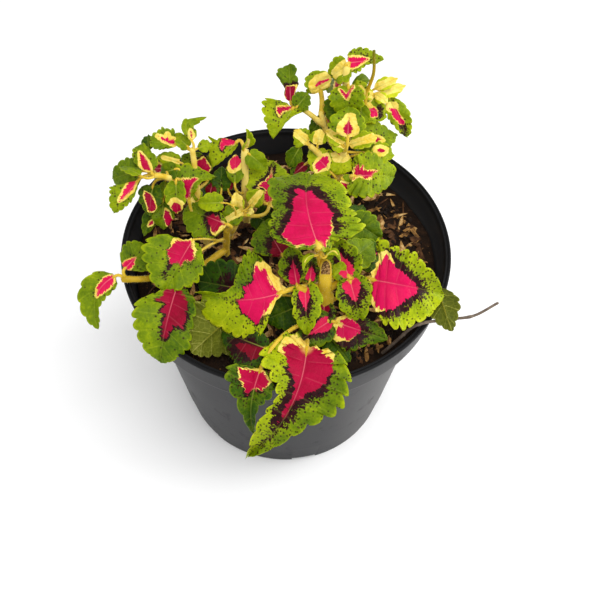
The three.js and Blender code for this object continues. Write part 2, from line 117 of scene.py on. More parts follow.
def blade_surface(leaf_row):
    """place(along, across, lift) on the blade's mid surface, and the way its upper face looks there."""
    start, end = np.array(leaf_row["base"], float), np.array(leaf_row["tip"], float)
    chord = unit(end - start)
    up = turned(unit(LIGHT - chord * (LIGHT @ chord)), chord, leaf_row["roll"])
    middle = (start + end) / 2 + up * leaf_row["arch"]
    if leaf_row["mid"]:
        middle = np.array(leaf_row["mid"], float)
    fold = math.radians(leaf_row["fold"])

    def place(along, across, lift=0.0):
        along, across = np.broadcast_arrays(np.asarray(along, float), np.asarray(across, float))
        share = along[..., None]
        centre = (start * (1 - share) * (1 - 2 * share) + middle * 4 * share * (1 - share)
                  + end * share * (2 * share - 1))
        heading = unit(start * (4 * share - 3) + middle * (4 - 8 * share) + end * (4 * share - 1))
        normal = unit(up - heading * (heading @ up)[..., None])
        side = np.cross(heading, normal)
        tilt = (fold * across / np.sqrt(across ** 2 + FOLD_SOFTNESS ** 2))[..., None]
        outward = side * np.cos(tilt) + normal * np.sin(tilt)
        facing = normal * np.cos(tilt) - side * np.sin(tilt)
        rise = (lift - EDGE_DROOP * across ** 2 / (leaf_row["width"] / 2))[..., None]
        return centre + outward * across[..., None] + facing * rise, facing

    return place


def leaf(stem_place, base, tip, width, marking, outline=HEART, teeth=3, mid=None, arch=1, fold=8,
         roll=0, left=None, right=None, rise=(0, 0), stalk=1, via=None):
    """One leaf. Its left and right edges may have their own outlines, and rise by so many millimetres."""
    return {"from": stem_place, "base": base, "tip": tip, "width": width, "marking": marking,
            "teeth": teeth, "mid": mid, "arch": arch, "fold": fold, "roll": roll, "rise": rise,
            "stalk": stalk, "via": via, "outlines": (left or outline, right or outline),
            "own_shape": bool(left or right)}


# ---- leaf markings ----
# A marking is a core colour patch round the midrib, in shares as the edges are, the yellow band round
# it and the dark fringe beyond, in millimetres, and the tones.
SHIELD = ((-0.02, 0.12), (-0.03, 0.5), (0.08, 0.86), (0.26, 1), (0.46, 0.84), (0.66, 0.46),
          (0.84, 0.18), (1, 0))


# A marking's two tones set how light its green and its magenta are. They are partly the leaf's own colour and
# partly painted shade: leaves and leaf halves that lie in shade get darker tones.
def marking(reach=0, right=0, left=None, core=None, fringe=0, cream=0, cream_to=0.32, halo=0,
            magenta_tone_and_shade=0.7, green_tone_and_shade=0.5, speckle=0.3, gap=0, trail=None):
    """A leaf's colours. Where it has no core of its own, that is a shield of the given reach."""
    left = right if left is None else left
    shield = [(along * reach, across * right) for along, across in SHIELD]
    shield += [(along * reach, -across * left) for along, across in reversed(SHIELD)]
    return {"core": core or shield, "fringe": fringe, "cream": cream, "cream_to": cream_to,
            "halo": halo, "magenta_tone_and_shade": magenta_tone_and_shade, "green_tone_and_shade": green_tone_and_shade, "speckle": speckle, "gap": gap, "trail": trail}


def plain(green_tone_and_shade, speckle=0.2, halo=0):
    return marking(0.01, 0.01, halo=halo, magenta_tone_and_shade=0.5, green_tone_and_shade=green_tone_and_shade, speckle=speckle)


def pale_centre(green_tone_and_shade, halo=1.2, reach=0.7):
    """A yellow band along the midrib with no core colour in it."""
    return marking(core=((0, 0.04), (reach, 0), (0, -0.04)), halo=halo, green_tone_and_shade=green_tone_and_shade, speckle=0.1, gap=2)


def signed_distance(points, outline):
    """Distance of each point to a closed outline, negative inside it."""
    outline = np.asarray(outline, float)
    nearest = np.full(len(points), 1e9)
    inside = np.zeros(len(points), bool)
    for here, after in zip(outline, np.roll(outline, -1, axis=0)):
        side = after - here
        offset = points - here
        share = np.clip(offset @ side / max(side @ side, 1e-12), 0, 1)
        nearest = np.minimum(nearest, np.linalg.norm(offset - share[:, None] * side, axis=1))
        crosses = (here[1] > points[:, 1]) != (after[1] > points[:, 1])
        if side[1]:
            inside ^= crosses & (points[:, 0] < here[0] + (points[:, 1] - here[1]) * side[0] / side[1])
    return np.where(inside, -nearest, nearest)


# The larger leaves' own edges and colour patches, both as (share along, share of the half width).
# An edge runs from the stalk to the tip, a patch once round with its left side negative.
# Another program printed most of these points from traced outlines. They are more than the shapes need.
TOP_LEFT = edge((0.01, 0.19), (0.04, 0.43), (0.1, 0.64), (0.18, 0.82), (0.29, 0.85), (0.39, 0.8),
                (0.51, 0.69), (0.63, 0.76), (0.76, 0.84), (0.88, 0.8), (0.93, 0.5), (0.97, 0.19))
TOP_RIGHT = edge((-0.06, 0.06), (-0.05, 0.25), (0.02, 0.5), (0, 0.8), (0.05, 1.11), (0.17, 1.1),
                 (0.28, 1.01), (0.38, 1.02), (0.49, 0.95), (0.72, 0.92), (0.9, 0.69), (1.02, 0.26))
TOP_CORE = ((0.04, -0.03), (0.04, -0.21), (0.07, -0.43), (0.12, -0.55), (0.21, -0.63), (0.27, -0.52),
            (0.33, -0.39), (0.42, -0.29), (0.53, -0.29), (0.62, -0.2), (0.69, -0.27), (0.71, -0.16),
            (0.66, 0), (0.68, 0.12), (0.6, 0.21), (0.54, 0.31), (0.5, 0.4), (0.41, 0.42), (0.37, 0.49),
            (0.29, 0.52), (0.23, 0.44), (0.13, 0.4), (0.05, 0.28), (-0.01, 0.16), (0.01, 0.03))
RIGHT_LEFT = edge((0.03, 0.19), (0.1, 0.44), (0.1, 0.66), (0.06, 0.86), (0.21, 0.77), (0.37, 0.71),
                  (0.51, 0.71), (0.63, 0.56), (0.75, 0.4), (0.87, 0.2))
RIGHT_RIGHT = edge((-0.01, 0.18), (0.04, 0.42), (0.16, 0.63), (0.28, 0.81), (0.46, 0.88), (0.63, 0.85),
                   (0.76, 0.69), (0.88, 0.5), (0.95, 0.27))
RIGHT_CORE = ((0.03, -0.01), (0.06, -0.18), (0.12, -0.4), (0.18, -0.54), (0.26, -0.43), (0.34, -0.33),
              (0.43, -0.27), (0.53, -0.16), (0.63, -0.06), (0.68, 0.01), (0.64, 0.15), (0.56, 0.23),
              (0.52, 0.32), (0.48, 0.4), (0.41, 0.5), (0.34, 0.56), (0.25, 0.55), (0.15, 0.52),
              (0.08, 0.36), (0.03, 0.21), (0, 0.08))
LEFT_LEFT = edge((0.08, 0.12), (0.18, 0.27), (0.26, 0.58), (0.34, 0.82), (0.44, 0.9), (0.57, 0.88),
                 (0.7, 0.8), (0.83, 0.66), (0.93, 0.46), (0.99, 0.24))
LEFT_RIGHT = edge((0.02, 0.37), (0.08, 0.84), (0.2, 1.04), (0.32, 1.1), (0.46, 0.94), (0.56, 0.68),
                  (0.6, 0.3), (0.72, 0.12), (0.86, 0.08))
LEFT_CORE = ((0.05, 0.04), (0.08, 0.18), (0.1, 0.36), (0.1, 0.62), (0.19, 0.64), (0.23, 0.75), (0.27, 0.73),
             (0.3, 0.59), (0.34, 0.51), (0.33, 0.42), (0.39, 0.33), (0.47, 0.29), (0.44, 0.18),
             (0.48, 0.04), (0.56, -0.02), (0.53, -0.14), (0.5, -0.25), (0.46, -0.36), (0.41, -0.47),
             (0.36, -0.57), (0.33, -0.53), (0.29, -0.4), (0.24, -0.28), (0.19, -0.22), (0.13, -0.1),
             (0.07, -0.05))
LOW_LEFT = edge((0.01, 0.24), (0.03, 0.52), (0.06, 0.78), (0.15, 0.97), (0.24, 0.99), (0.32, 0.98),
                (0.4, 0.84), (0.5, 0.58), (0.62, 0.38), (0.77, 0.24), (0.92, 0.1))
LOW_RIGHT = edge((-0.05, 0.22), (-0.06, 0.5), (0, 0.76), (0.09, 0.93), (0.2, 0.86), (0.3, 0.6),
                 (0.38, 0.42), (0.47, 0.38), (0.58, 0.42), (0.73, 0.4), (0.88, 0.22))
LOW_CORE = ((0, 0.15), (-0.01, 0.32), (0, 0.44), (0.04, 0.52), (0.09, 0.41), (0.16, 0.36), (0.2, 0.24),
            (0.23, 0.14), (0.29, 0.11), (0.35, 0.08), (0.42, 0.08), (0.47, 0.11), (0.53, 0.11),
            (0.62, 0.06), (0.55, 0), (0.48, 0.01), (0.41, -0.03), (0.39, -0.09), (0.36, -0.15),
            (0.3, -0.24), (0.28, -0.38), (0.25, -0.45), (0.21, -0.53), (0.17, -0.58), (0.11, -0.61),
            (0.08, -0.55), (0.05, -0.42), (0.03, -0.31), (0.01, -0.18), (0, -0.05))
FOLDED_LEFT = edge((0.02, 0.26), (0.1, 0.6), (0.22, 0.79), (0.35, 0.64), (0.46, 0.34), (0.62, 0.2),
                   (0.8, 0.12))
FOLDED_RIGHT = edge((0.03, 0.52), (0.05, 1.04), (0.1, 1.3), (0.19, 1.19), (0.3, 0.93), (0.46, 0.58),
                    (0.66, 0.29), (0.86, 0.12))
FOLDED_CORE = ((0.04, 0.03), (0.07, 0.44), (0.08, 0.89), (0.15, 0.69), (0.22, 0.5), (0.3, 0.33),
               (0.35, 0.24), (0.28, 0.16), (0.26, -0.03), (0.25, -0.31), (0.18, -0.43), (0.12, -0.49),
               (0.06, -0.32), (0.03, -0.13))
DULL_LEFT = edge((-0.07, 0.43), (0.02, 0.91), (0.2, 1.21), (0.42, 1.19), (0.63, 0.86), (0.86, 0.47))
DULL_RIGHT = edge((0.01, 0.37), (0.18, 0.6), (0.41, 0.55), (0.67, 0.44), (0.86, 0.29))
DULL_CORE = ((0.06, -0.01), (0.02, -0.35), (0.09, -0.61), (0.18, -0.72), (0.34, -0.55), (0.49, -0.54),
             (0.59, -0.35), (0.5, -0.19), (0.37, -0.1), (0.23, -0.07))
DARK_LEFT = edge((0.01, 0.4), (0.24, 0.65), (0.53, 0.68), (0.8, 0.61), (0.94, 0.32))
DARK_RIGHT = edge((0.02, 0.61), (0.14, 0.94), (0.33, 1.15), (0.59, 1.13), (0.81, 0.9), (0.96, 0.51))
SHADED_LEFT = edge((0.03, 0.2), (0.08, 0.42), (0.17, 0.68), (0.34, 0.74), (0.51, 0.72), (0.68, 0.78),
                   (0.83, 0.6), (0.94, 0.32))
SHADED_RIGHT = edge((0.03, 0.16), (0.09, 0.34), (0.17, 0.57), (0.26, 0.89), (0.39, 0.98), (0.55, 0.88),
                    (0.72, 0.67), (0.88, 0.39))
SHADED_CORE = ((0.04, -0.1), (0.1, 0.31), (0.17, 0.32), (0.22, 0.43), (0.26, 0.19), (0.34, 0.24),
               (0.37, 0.07), (0.49, 0.12), (0.55, 0.02), (0.64, 0.04), (0.66, -0.06), (0.58, -0.11),
               (0.51, -0.21), (0.46, -0.18), (0.46, -0.33), (0.5, -0.48), (0.4, -0.48), (0.34, -0.53),
               (0.28, -0.43), (0.23, -0.51), (0.16, -0.39), (0.09, -0.21))
ROUND_LEFT = edge((0.04, 0.16), (0.1, 0.34), (0.27, 0.62), (0.48, 0.78), (0.68, 0.72), (0.85, 0.46),
                  (0.96, 0.24))
ROUND_RIGHT = edge((0.02, 0.1), (0.09, 0.3), (0.17, 0.71), (0.3, 1.08), (0.48, 1.22), (0.68, 1.07),
                   (0.82, 0.77), (0.96, 0.48))
ROUND_CORE = ((0.05, 0.02), (0.12, 0.26), (0.22, 0.43), (0.38, 0.48), (0.51, 0.4), (0.57, 0.22),
              (0.55, 0.14), (0.49, 0.05), (0.54, -0.11), (0.43, -0.1), (0.4, -0.3), (0.31, -0.35),
              (0.19, -0.15))
SHADY_LEFT = edge((0.06, 0.34), (0.15, 0.7), (0.32, 0.94), (0.54, 1.03), (0.76, 0.83), (0.95, 0.4))
SHADY_RIGHT = edge((0.06, 0.16), (0.19, 0.34), (0.35, 0.42), (0.54, 0.48), (0.75, 0.45), (0.92, 0.24))
SHADY_CORE = ((0.04, -0.04), (0.18, 0.07), (0.25, 0.2), (0.37, 0.15), (0.46, 0.03), (0.39, -0.2),
              (0.3, -0.32), (0.28, -0.54), (0.18, -0.54), (0.13, -0.31), (0.1, -0.14))
CURLED_LEFT = edge((0.07, 0.47), (0.27, 0.61), (0.49, 0.5), (0.63, 0.36), (0.8, 0.24), (0.92, 0.14))
CURLED_CORE = ((0.02, 0.1), (0.15, 0.25), (0.23, 0.2), (0.34, 0.17), (0.5, -0.05), (0.4, -0.27),
               (0.2, -0.41), (0.07, -0.26))
CUPPED_LEFT = edge((0.03, 0.29), (0.16, 0.67), (0.35, 0.98), (0.58, 1.06), (0.77, 0.9), (0.92, 0.5))
CUPPED_CORE = ((0.06, -0.01), (0.13, -0.31), (0.3, -0.17), (0.38, -0.31), (0.35, -0.54), (0.43, -0.44),
               (0.51, -0.21), (0.66, -0.06), (0.82, -0.02), (0.59, 0.02), (0.42, 0.01), (0.29, -0.01),
               (0.17, 0.14))
SIDE_LEFT = edge((0.06, 0.25), (0.2, 0.44), (0.39, 0.46), (0.55, 0.54), (0.75, 0.44), (0.9, 0.27))
SIDE_RIGHT = edge((0.02, 0.36), (0.12, 0.75), (0.33, 0.92), (0.51, 0.79), (0.66, 0.48), (0.85, 0.24))
SIDE_CORE = ((0.1, -0.11), (0.17, -0.29), (0.29, -0.34), (0.41, -0.23), (0.5, -0.04), (0.45, 0.25),
             (0.33, 0.55), (0.2, 0.52), (0.08, 0.4), (0.09, 0.19), (0.18, 0.04))


# ---- the seven plants: main stem, side shoots and leaves ----
# Another program worked out many of the places and most of the outlines in these rows. Part of them was
# then moved.
def shoot(path, radius, cut=0, swell=0, swell_height=0, withered=0):
    """A stem along a path. It may be cut off aslant, swell at a height or wither towards its tip."""
    return {"path": path, "radius": radius, "cut": cut, "swell": swell,
            "swell_height": swell_height, "withered": withered}


def rooted(x, y, path, radius, **more):
    """A main stem, which comes straight up out of the soil."""
    start = [(x, y, STEM_ROOT), (x, y, SOIL_TOP), (x, y, SOIL_TOP + 4)]
    return shoot([*start, *path], radius, **more)


# In the rows below, the leaves' green and magenta tones are partly their own colours and partly painted
# shade: some leaves that lie low or under others have darker ones.
front_plant = {
    "tone": 0.78,
    "stems": [
        rooted(16, -33, [(16, -32, 130)], 2.55, cut=2.2, swell=0.6, swell_height=112),
        shoot([(16, -31, 112), (14.5, -27, 128), (13, -30, 141), (12.7, -33.5, 147)], 1.7),
        shoot([(16, -33, 117), (9, -36, 122), (5, -36, 124.5)], 1.4),
        shoot([(16, -33, 117), (22, -31, 122), (27, -30, 124.5)], 1.4),
        shoot([(16, -33, 102), (15, -38, 106), (14, -42, 110)], 1.3),
        shoot([(16, -33, 104), (19, -20, 111), (22, -12, 115)], 1.3),
        shoot([(16, -33, 112), (13, -36, 116.5), (10, -37.2, 120)], 1.8),
    ],
    "leaves": [
        leaf((12, -35, 145), (12.9, -33.7, 147), (9.1, 5.8, 144), 36,
             marking(core=TOP_CORE, cream=0.5, fringe=3, magenta_tone_and_shade=0.74, green_tone_and_shade=(0.44, 0.57), speckle=0.9,
                     trail=((0.09, 0.42), (0.07, 0.56), (0.12, 0.66), (0.19, 0.62), (0.21, 0.46))), teeth=8,
             mid=(7.9, -15.3, 150.5), fold=-4, left=TOP_LEFT, right=TOP_RIGHT, rise=(1, -1)),
        leaf((17, -33, 121), (34.4, -31.1, 124), (63.2, -31.9, 117), 38,
             marking(core=RIGHT_CORE, cream=3, fringe=3, magenta_tone_and_shade=0.84, green_tone_and_shade=(0.62, 0.68), speckle=0.7), teeth=8,
             mid=(46.9, -35.9, 127), fold=4, left=RIGHT_LEFT, right=RIGHT_RIGHT, rise=(2, 0)),
        leaf((14, -33, 121), (-0.3, -38.1, 124), (-33, -34.2, 116), 35,
             marking(core=LEFT_CORE, cream=3, fringe=0.6, magenta_tone_and_shade=0.8, green_tone_and_shade=(0.72, 0.44), speckle=0.8), teeth=8,
             mid=(-16.2, -41.8, 123), fold=-12, left=LEFT_LEFT, right=LEFT_RIGHT, rise=(0, 3)),
        leaf((16, -34, 104), (9.5, -56.1, 113), (-12.4, -84.7, 77), 37,
             marking(core=LOW_CORE, cream=2.2, cream_to=0.1, fringe=3, magenta_tone_and_shade=0.54, green_tone_and_shade=(0.46, 0.68),
                     speckle=0.7,
                     trail=((0.5, 0.14), (0.62, 0.15), (0.74, 0.1), (0.85, 0.03), (0.74, 0), (0.6, -0.02))),
             teeth=8, stalk=0.75, via=(9, -45, 103), mid=(3.2, -78.3, 102), fold=6, left=LOW_LEFT,
             right=LOW_RIGHT, rise=(1, 3)),
        leaf((14, -33, 109), (-19, -39.8, 111.6), (-36, -55, 104.8), 25, plain(0.7), outline=WEDGE, teeth=6,
             roll=165, stalk=0.5),
        leaf((18, -33, 106), (60.8, -29.3, 118), (67.2, -44, 108), 12, plain(0.52), outline=WEDGE, teeth=5,
             roll=180),
        leaf((13, -30, 141), (15.6, -33.6, 141), (21.3, -35.5, 140), 3.2, pale_centre(0.62, 0.3),
             outline=SLIM, teeth=2, mid=(18.8, -32.5, 143), fold=-20, stalk=1.2),
        leaf((5, -36, 124), (5.1, -35.7, 125), (1.9, -19.1, 129), 12,
             marking(0.62, 0.3, 0.5, fringe=2, magenta_tone_and_shade=0.66, green_tone_and_shade=0.5, speckle=1), outline=WEDGE, teeth=4,
             fold=14),
        leaf((5, -36, 124), (8.2, -35.5, 123.5), (9.4, -49.8, 112), 12,
             marking(0.5, 0.5, 0.3, fringe=2.2, magenta_tone_and_shade=0.95, green_tone_and_shade=0.6, speckle=1), teeth=4, arch=3, fold=20),
        leaf((27, -30, 124), (25.3, -30.7, 125), (18.4, -14.3, 130), 14,
             marking(0.55, 0.45, fringe=2.5, magenta_tone_and_shade=1.0, green_tone_and_shade=0.5, speckle=1), teeth=4, fold=12),
        leaf((26, -30, 124), (25.8, -31.5, 123.5), (30.3, -43, 112), 15,
             marking(0.5, 0.5, fringe=2.5, magenta_tone_and_shade=1.0, green_tone_and_shade=0.55, speckle=1), teeth=4, arch=3, fold=14),
        leaf((22, -12, 115), (30, -15, 116), (43, -6, 112), 14,
             marking(0.6, 0.3, fringe=1.2, magenta_tone_and_shade=0.85, green_tone_and_shade=0.3), teeth=5),
        leaf((22, -12, 115), (27, 5, 117), (40, 1, 110), 14, plain(0.38), teeth=5),
        leaf((21, -13, 115), (25, 3, 117), (33, 19, 111), 10, plain(0.28)),
        leaf((26, -30, 122), (26, -21, 123), (36, -8, 119), 14, plain(0.45, 0.8), teeth=4),
        leaf((14, -42, 110), (18.5, -42.2, 111), (5.2, -51.1, 108), 13,
             marking(0.66, 0.45, fringe=2.2, magenta_tone_and_shade=0.98, green_tone_and_shade=0.36, speckle=0.8), teeth=4),
        leaf((14, -42, 110), (20, -42.6, 111), (41.5, -48.6, 108), 20,
             marking(core=SIDE_CORE, cream=2, halo=0.3, fringe=3.4, magenta_tone_and_shade=0.72, green_tone_and_shade=0.34, speckle=0.7),
             teeth=5, left=SIDE_LEFT, right=SIDE_RIGHT),
        leaf((15, -41, 106), (17, -44, 105), (27, -55, 101), 11, plain(0.26)),
        leaf((16, -33, 108), (5, -36, 111), (-8, -40, 107), 14, plain(0.26), teeth=5),
        leaf((16, -36, 104), (-6, -56.2, 111), (-24.7, -45.6, 107), 17,
             marking(core=DULL_CORE, fringe=3.4, magenta_tone_and_shade=0.32, green_tone_and_shade=0.2, speckle=0.7), teeth=5, fold=14,
             left=DULL_LEFT, right=DULL_RIGHT),
        leaf((15, -40, 104), (-7.9, -64.9, 111), (-10.1, -80.2, 83), 20,
             marking(core=FOLDED_CORE, cream=0.6, halo=0.05, fringe=0.8, magenta_tone_and_shade=0.62, green_tone_and_shade=0.3, speckle=0.6),
             teeth=5, mid=(-11.5, -75.6, 99.5), fold=26, left=FOLDED_LEFT, right=FOLDED_RIGHT),
        leaf((16, -33, 106), (-16, -28, 111), (-36.4, -20.4, 106), 18,
             marking(0.3, 0.35, fringe=4.5, magenta_tone_and_shade=0.22, green_tone_and_shade=0.16, speckle=0.6), teeth=5, left=DARK_LEFT,
             right=DARK_RIGHT),
        leaf((16, -33, 112), (-1, -17, 120), (-10, 3, 118), 17,
             marking(0.42, 0.5, fringe=3, magenta_tone_and_shade=0.34, green_tone_and_shade=0.36, speckle=1), outline=WEDGE, teeth=5),
        leaf((13, -30, 141), (11.8, -33.2, 141), (7.2, -39, 139), 3, pale_centre(0.62, 0.3), outline=SLIM,
             teeth=2, mid=(8.6, -35.4, 142), fold=-20, stalk=1.2),
        leaf((8, -36, 122), (10, -33, 125), (11, -23, 127), 9,
             marking(0.6, 0.5, fringe=1.4, magenta_tone_and_shade=0.9, green_tone_and_shade=0.4, speckle=1), teeth=4, fold=20),
        leaf((24, -30, 122), (24, -29, 125), (18, -27, 127), 7, plain(0.6), outline=SLIM, teeth=2),
        leaf((16, -33, 110), (16, -36, 113), (16, -44, 108), 10,
             marking(0.6, 0.5, fringe=1.8, magenta_tone_and_shade=0.4, green_tone_and_shade=0.35, speckle=1), teeth=4, fold=20),
    ],
}

low_left_plant = {
    "tone": 0.8,
    "stems": [
        rooted(-26, 2, [(-25, 1, 114)], 1.5),
        shoot([(-26, 2, 100), (-38, -13, 104), (-56, -22.5, 109.5), (-66, -25, 112)], 1.5),
    ],
    "leaves": [
        leaf((-25.5, 1.5, 105), (-37.6, -11.6, 122), (-47.6, -32.5, 115), 26,
             marking(core=ROUND_CORE, cream=1.6, halo=0.3, fringe=0.4, magenta_tone_and_shade=0.64, green_tone_and_shade=0.51, speckle=0.3,
                     trail=((0.5, 0.38), (0.62, 0.32), (0.8, 0.26), (0.64, 0.16), (0.5, 0.12))), teeth=7,
             arch=3, stalk=0.5, via=(-33, -7, 118), left=ROUND_LEFT, right=ROUND_RIGHT),
        leaf((-26, 1, 108), (-42.6, -29.6, 116), (-48.4, -57.1, 101), 28,
             marking(core=SHADED_CORE, fringe=0.9, magenta_tone_and_shade=0.43, green_tone_and_shade=(0.36, 0.5), speckle=0.15), teeth=7,
             stalk=0.6, mid=(-46, -48, 112.5), left=SHADED_LEFT, right=SHADED_RIGHT),
        leaf((-64, -25, 112), (-65, -22, 115), (-57, -8, 113), 15,
             marking(0.45, 0.3, halo=0.4, magenta_tone_and_shade=0.9, green_tone_and_shade=0.42), outline=WEDGE, teeth=5, fold=20),
        leaf((-65, -25, 112), (-68.5, -24.1, 113), (-75.7, -40.6, 98), 15,
             marking(core=CURLED_CORE, halo=0.6, magenta_tone_and_shade=0.9, green_tone_and_shade=0.5), outline=WEDGE, teeth=5,
             mid=(-76.6, -30.5, 107), left=CURLED_LEFT),
        leaf((-25, 1, 113), (-24.3, -0.7, 119), (-43.3, 7.9, 119), 19,
             marking(core=SHADY_CORE, cream=1.2, fringe=1.6, magenta_tone_and_shade=0.5, green_tone_and_shade=0.46, speckle=0.4), teeth=5,
             left=SHADY_LEFT, right=SHADY_RIGHT),
    ],
}

middle_plant = {
    "tone": 0.9,
    "stems": [
        rooted(-25, 11, [(-23, 5, 109), (-19.4, 7.5, 117.5)], 1.5),
    ],
    "leaves": [
        leaf((-19, 8, 116), (-7.7, 11.1, 118), (-6.6, 28.6, 127), 21,
             marking(core=CUPPED_CORE, cream=1.8, halo=0.5, fringe=1, magenta_tone_and_shade=0.7, green_tone_and_shade=0.62, speckle=0.4),
             teeth=6, arch=2, left=CUPPED_LEFT),
        leaf((-19.4, 7.5, 117.5), (-15.7, 10, 119), (-10.3, 14.7, 124), 8, pale_centre(0.62, 1.5, 0.8),
             outline=WEDGE, fold=20),
        leaf((-23, 8, 110), (-26.8, 5.1, 126), (-37.3, 6, 124), 8, plain(0.6), teeth=4, fold=16, stalk=0.7),
        leaf((-19.4, 7.5, 117), (-18.5, 7.5, 118.5), (-27.6, 3.1, 115), 9, pale_centre(0.5, 1.6, 0.8),
             outline=WEDGE, fold=20),
        leaf((-24, 9, 104), (-14, 15, 107), (-6, 12, 104), 11, plain(0.15)),
        leaf((-19.4, 7.5, 117.5), (-20.6, 8.1, 119), (-21.6, 13, 124), 6, pale_centre(0.7, 2.6, 0.9),
             fold=34),
        leaf((-19.4, 7.5, 117.5), (-16, 7, 119), (-13.5, 5, 120.5), 4, pale_centre(0.8, 1.5, 0.9),
             outline=SLIM, teeth=2),
    ],
}

tall_left_plant = {
    "tone": 1.1,
    "stems": [
        rooted(-18, 20, [(-18, 18, 120), (-17.8, 22.5, 139)], 1.65),
    ],
    "leaves": [
        leaf((-18, 22, 136.5), (-21.3, 26.5, 140), (-31.7, 18.8, 132), 18,
             marking(core=((0.23, 0.59), (-0.03, 0.05), (0.12, -0.01), (0.29, 0.25), (0.47, 0.2),
                           (0.43, 0.39), (0.31, 0.52)), halo=0.4, fringe=0.5, magenta_tone_and_shade=0.85, green_tone_and_shade=0.6), teeth=5,
             left=edge((0.06, 0.15), (0.3, 0.22), (0.51, 0.16), (0.8, 0.08)),
             right=edge((0.21, 0.6), (0.35, 0.71), (0.41, 0.86), (0.44, 1.12), (0.5, 0.85), (0.74, 0.58),
                        (0.88, 0.27))),
        leaf((-18, 22, 138), (-18.2, 21.7, 141), (-16.2, 21.6, 152), 7, pale_centre(0.6, 1.4, 0.5),
             outline=SLIM, roll=50, fold=40),
        leaf((-18, 21, 136), (-16, 21, 138.5), (-9, 20, 131), 8, plain(0.5)),
        leaf((-18, 18, 118), (-22.1, 15.6, 126), (-22, 25, 134), 8,
             marking(core=((0.49, -0.4), (0.74, -0.62), (0.92, -0.2), (0.96, 0.29), (0.79, 0.71),
                           (0.57, 0.22), (0.48, -0.27)), halo=1.6, magenta_tone_and_shade=0.9, green_tone_and_shade=0.5), outline=WEDGE),
        leaf((-18, 18, 114), (-25.2, 16.5, 122), (-25.8, 22, 126), 7,
             marking(0.8, 0.7, fringe=0.6, magenta_tone_and_shade=0.28, green_tone_and_shade=0.2)),
        leaf((-18, 19, 121), (-20, 25, 122), (-28, 37, 113), 11,
             marking(0.5, 0.5, halo=0.8, magenta_tone_and_shade=0.5, green_tone_and_shade=0.36), teeth=5),
        leaf((-18, 19, 112), (-15, 25, 114), (-11, 37, 106), 10, plain(0.26), teeth=5),
    ],
}

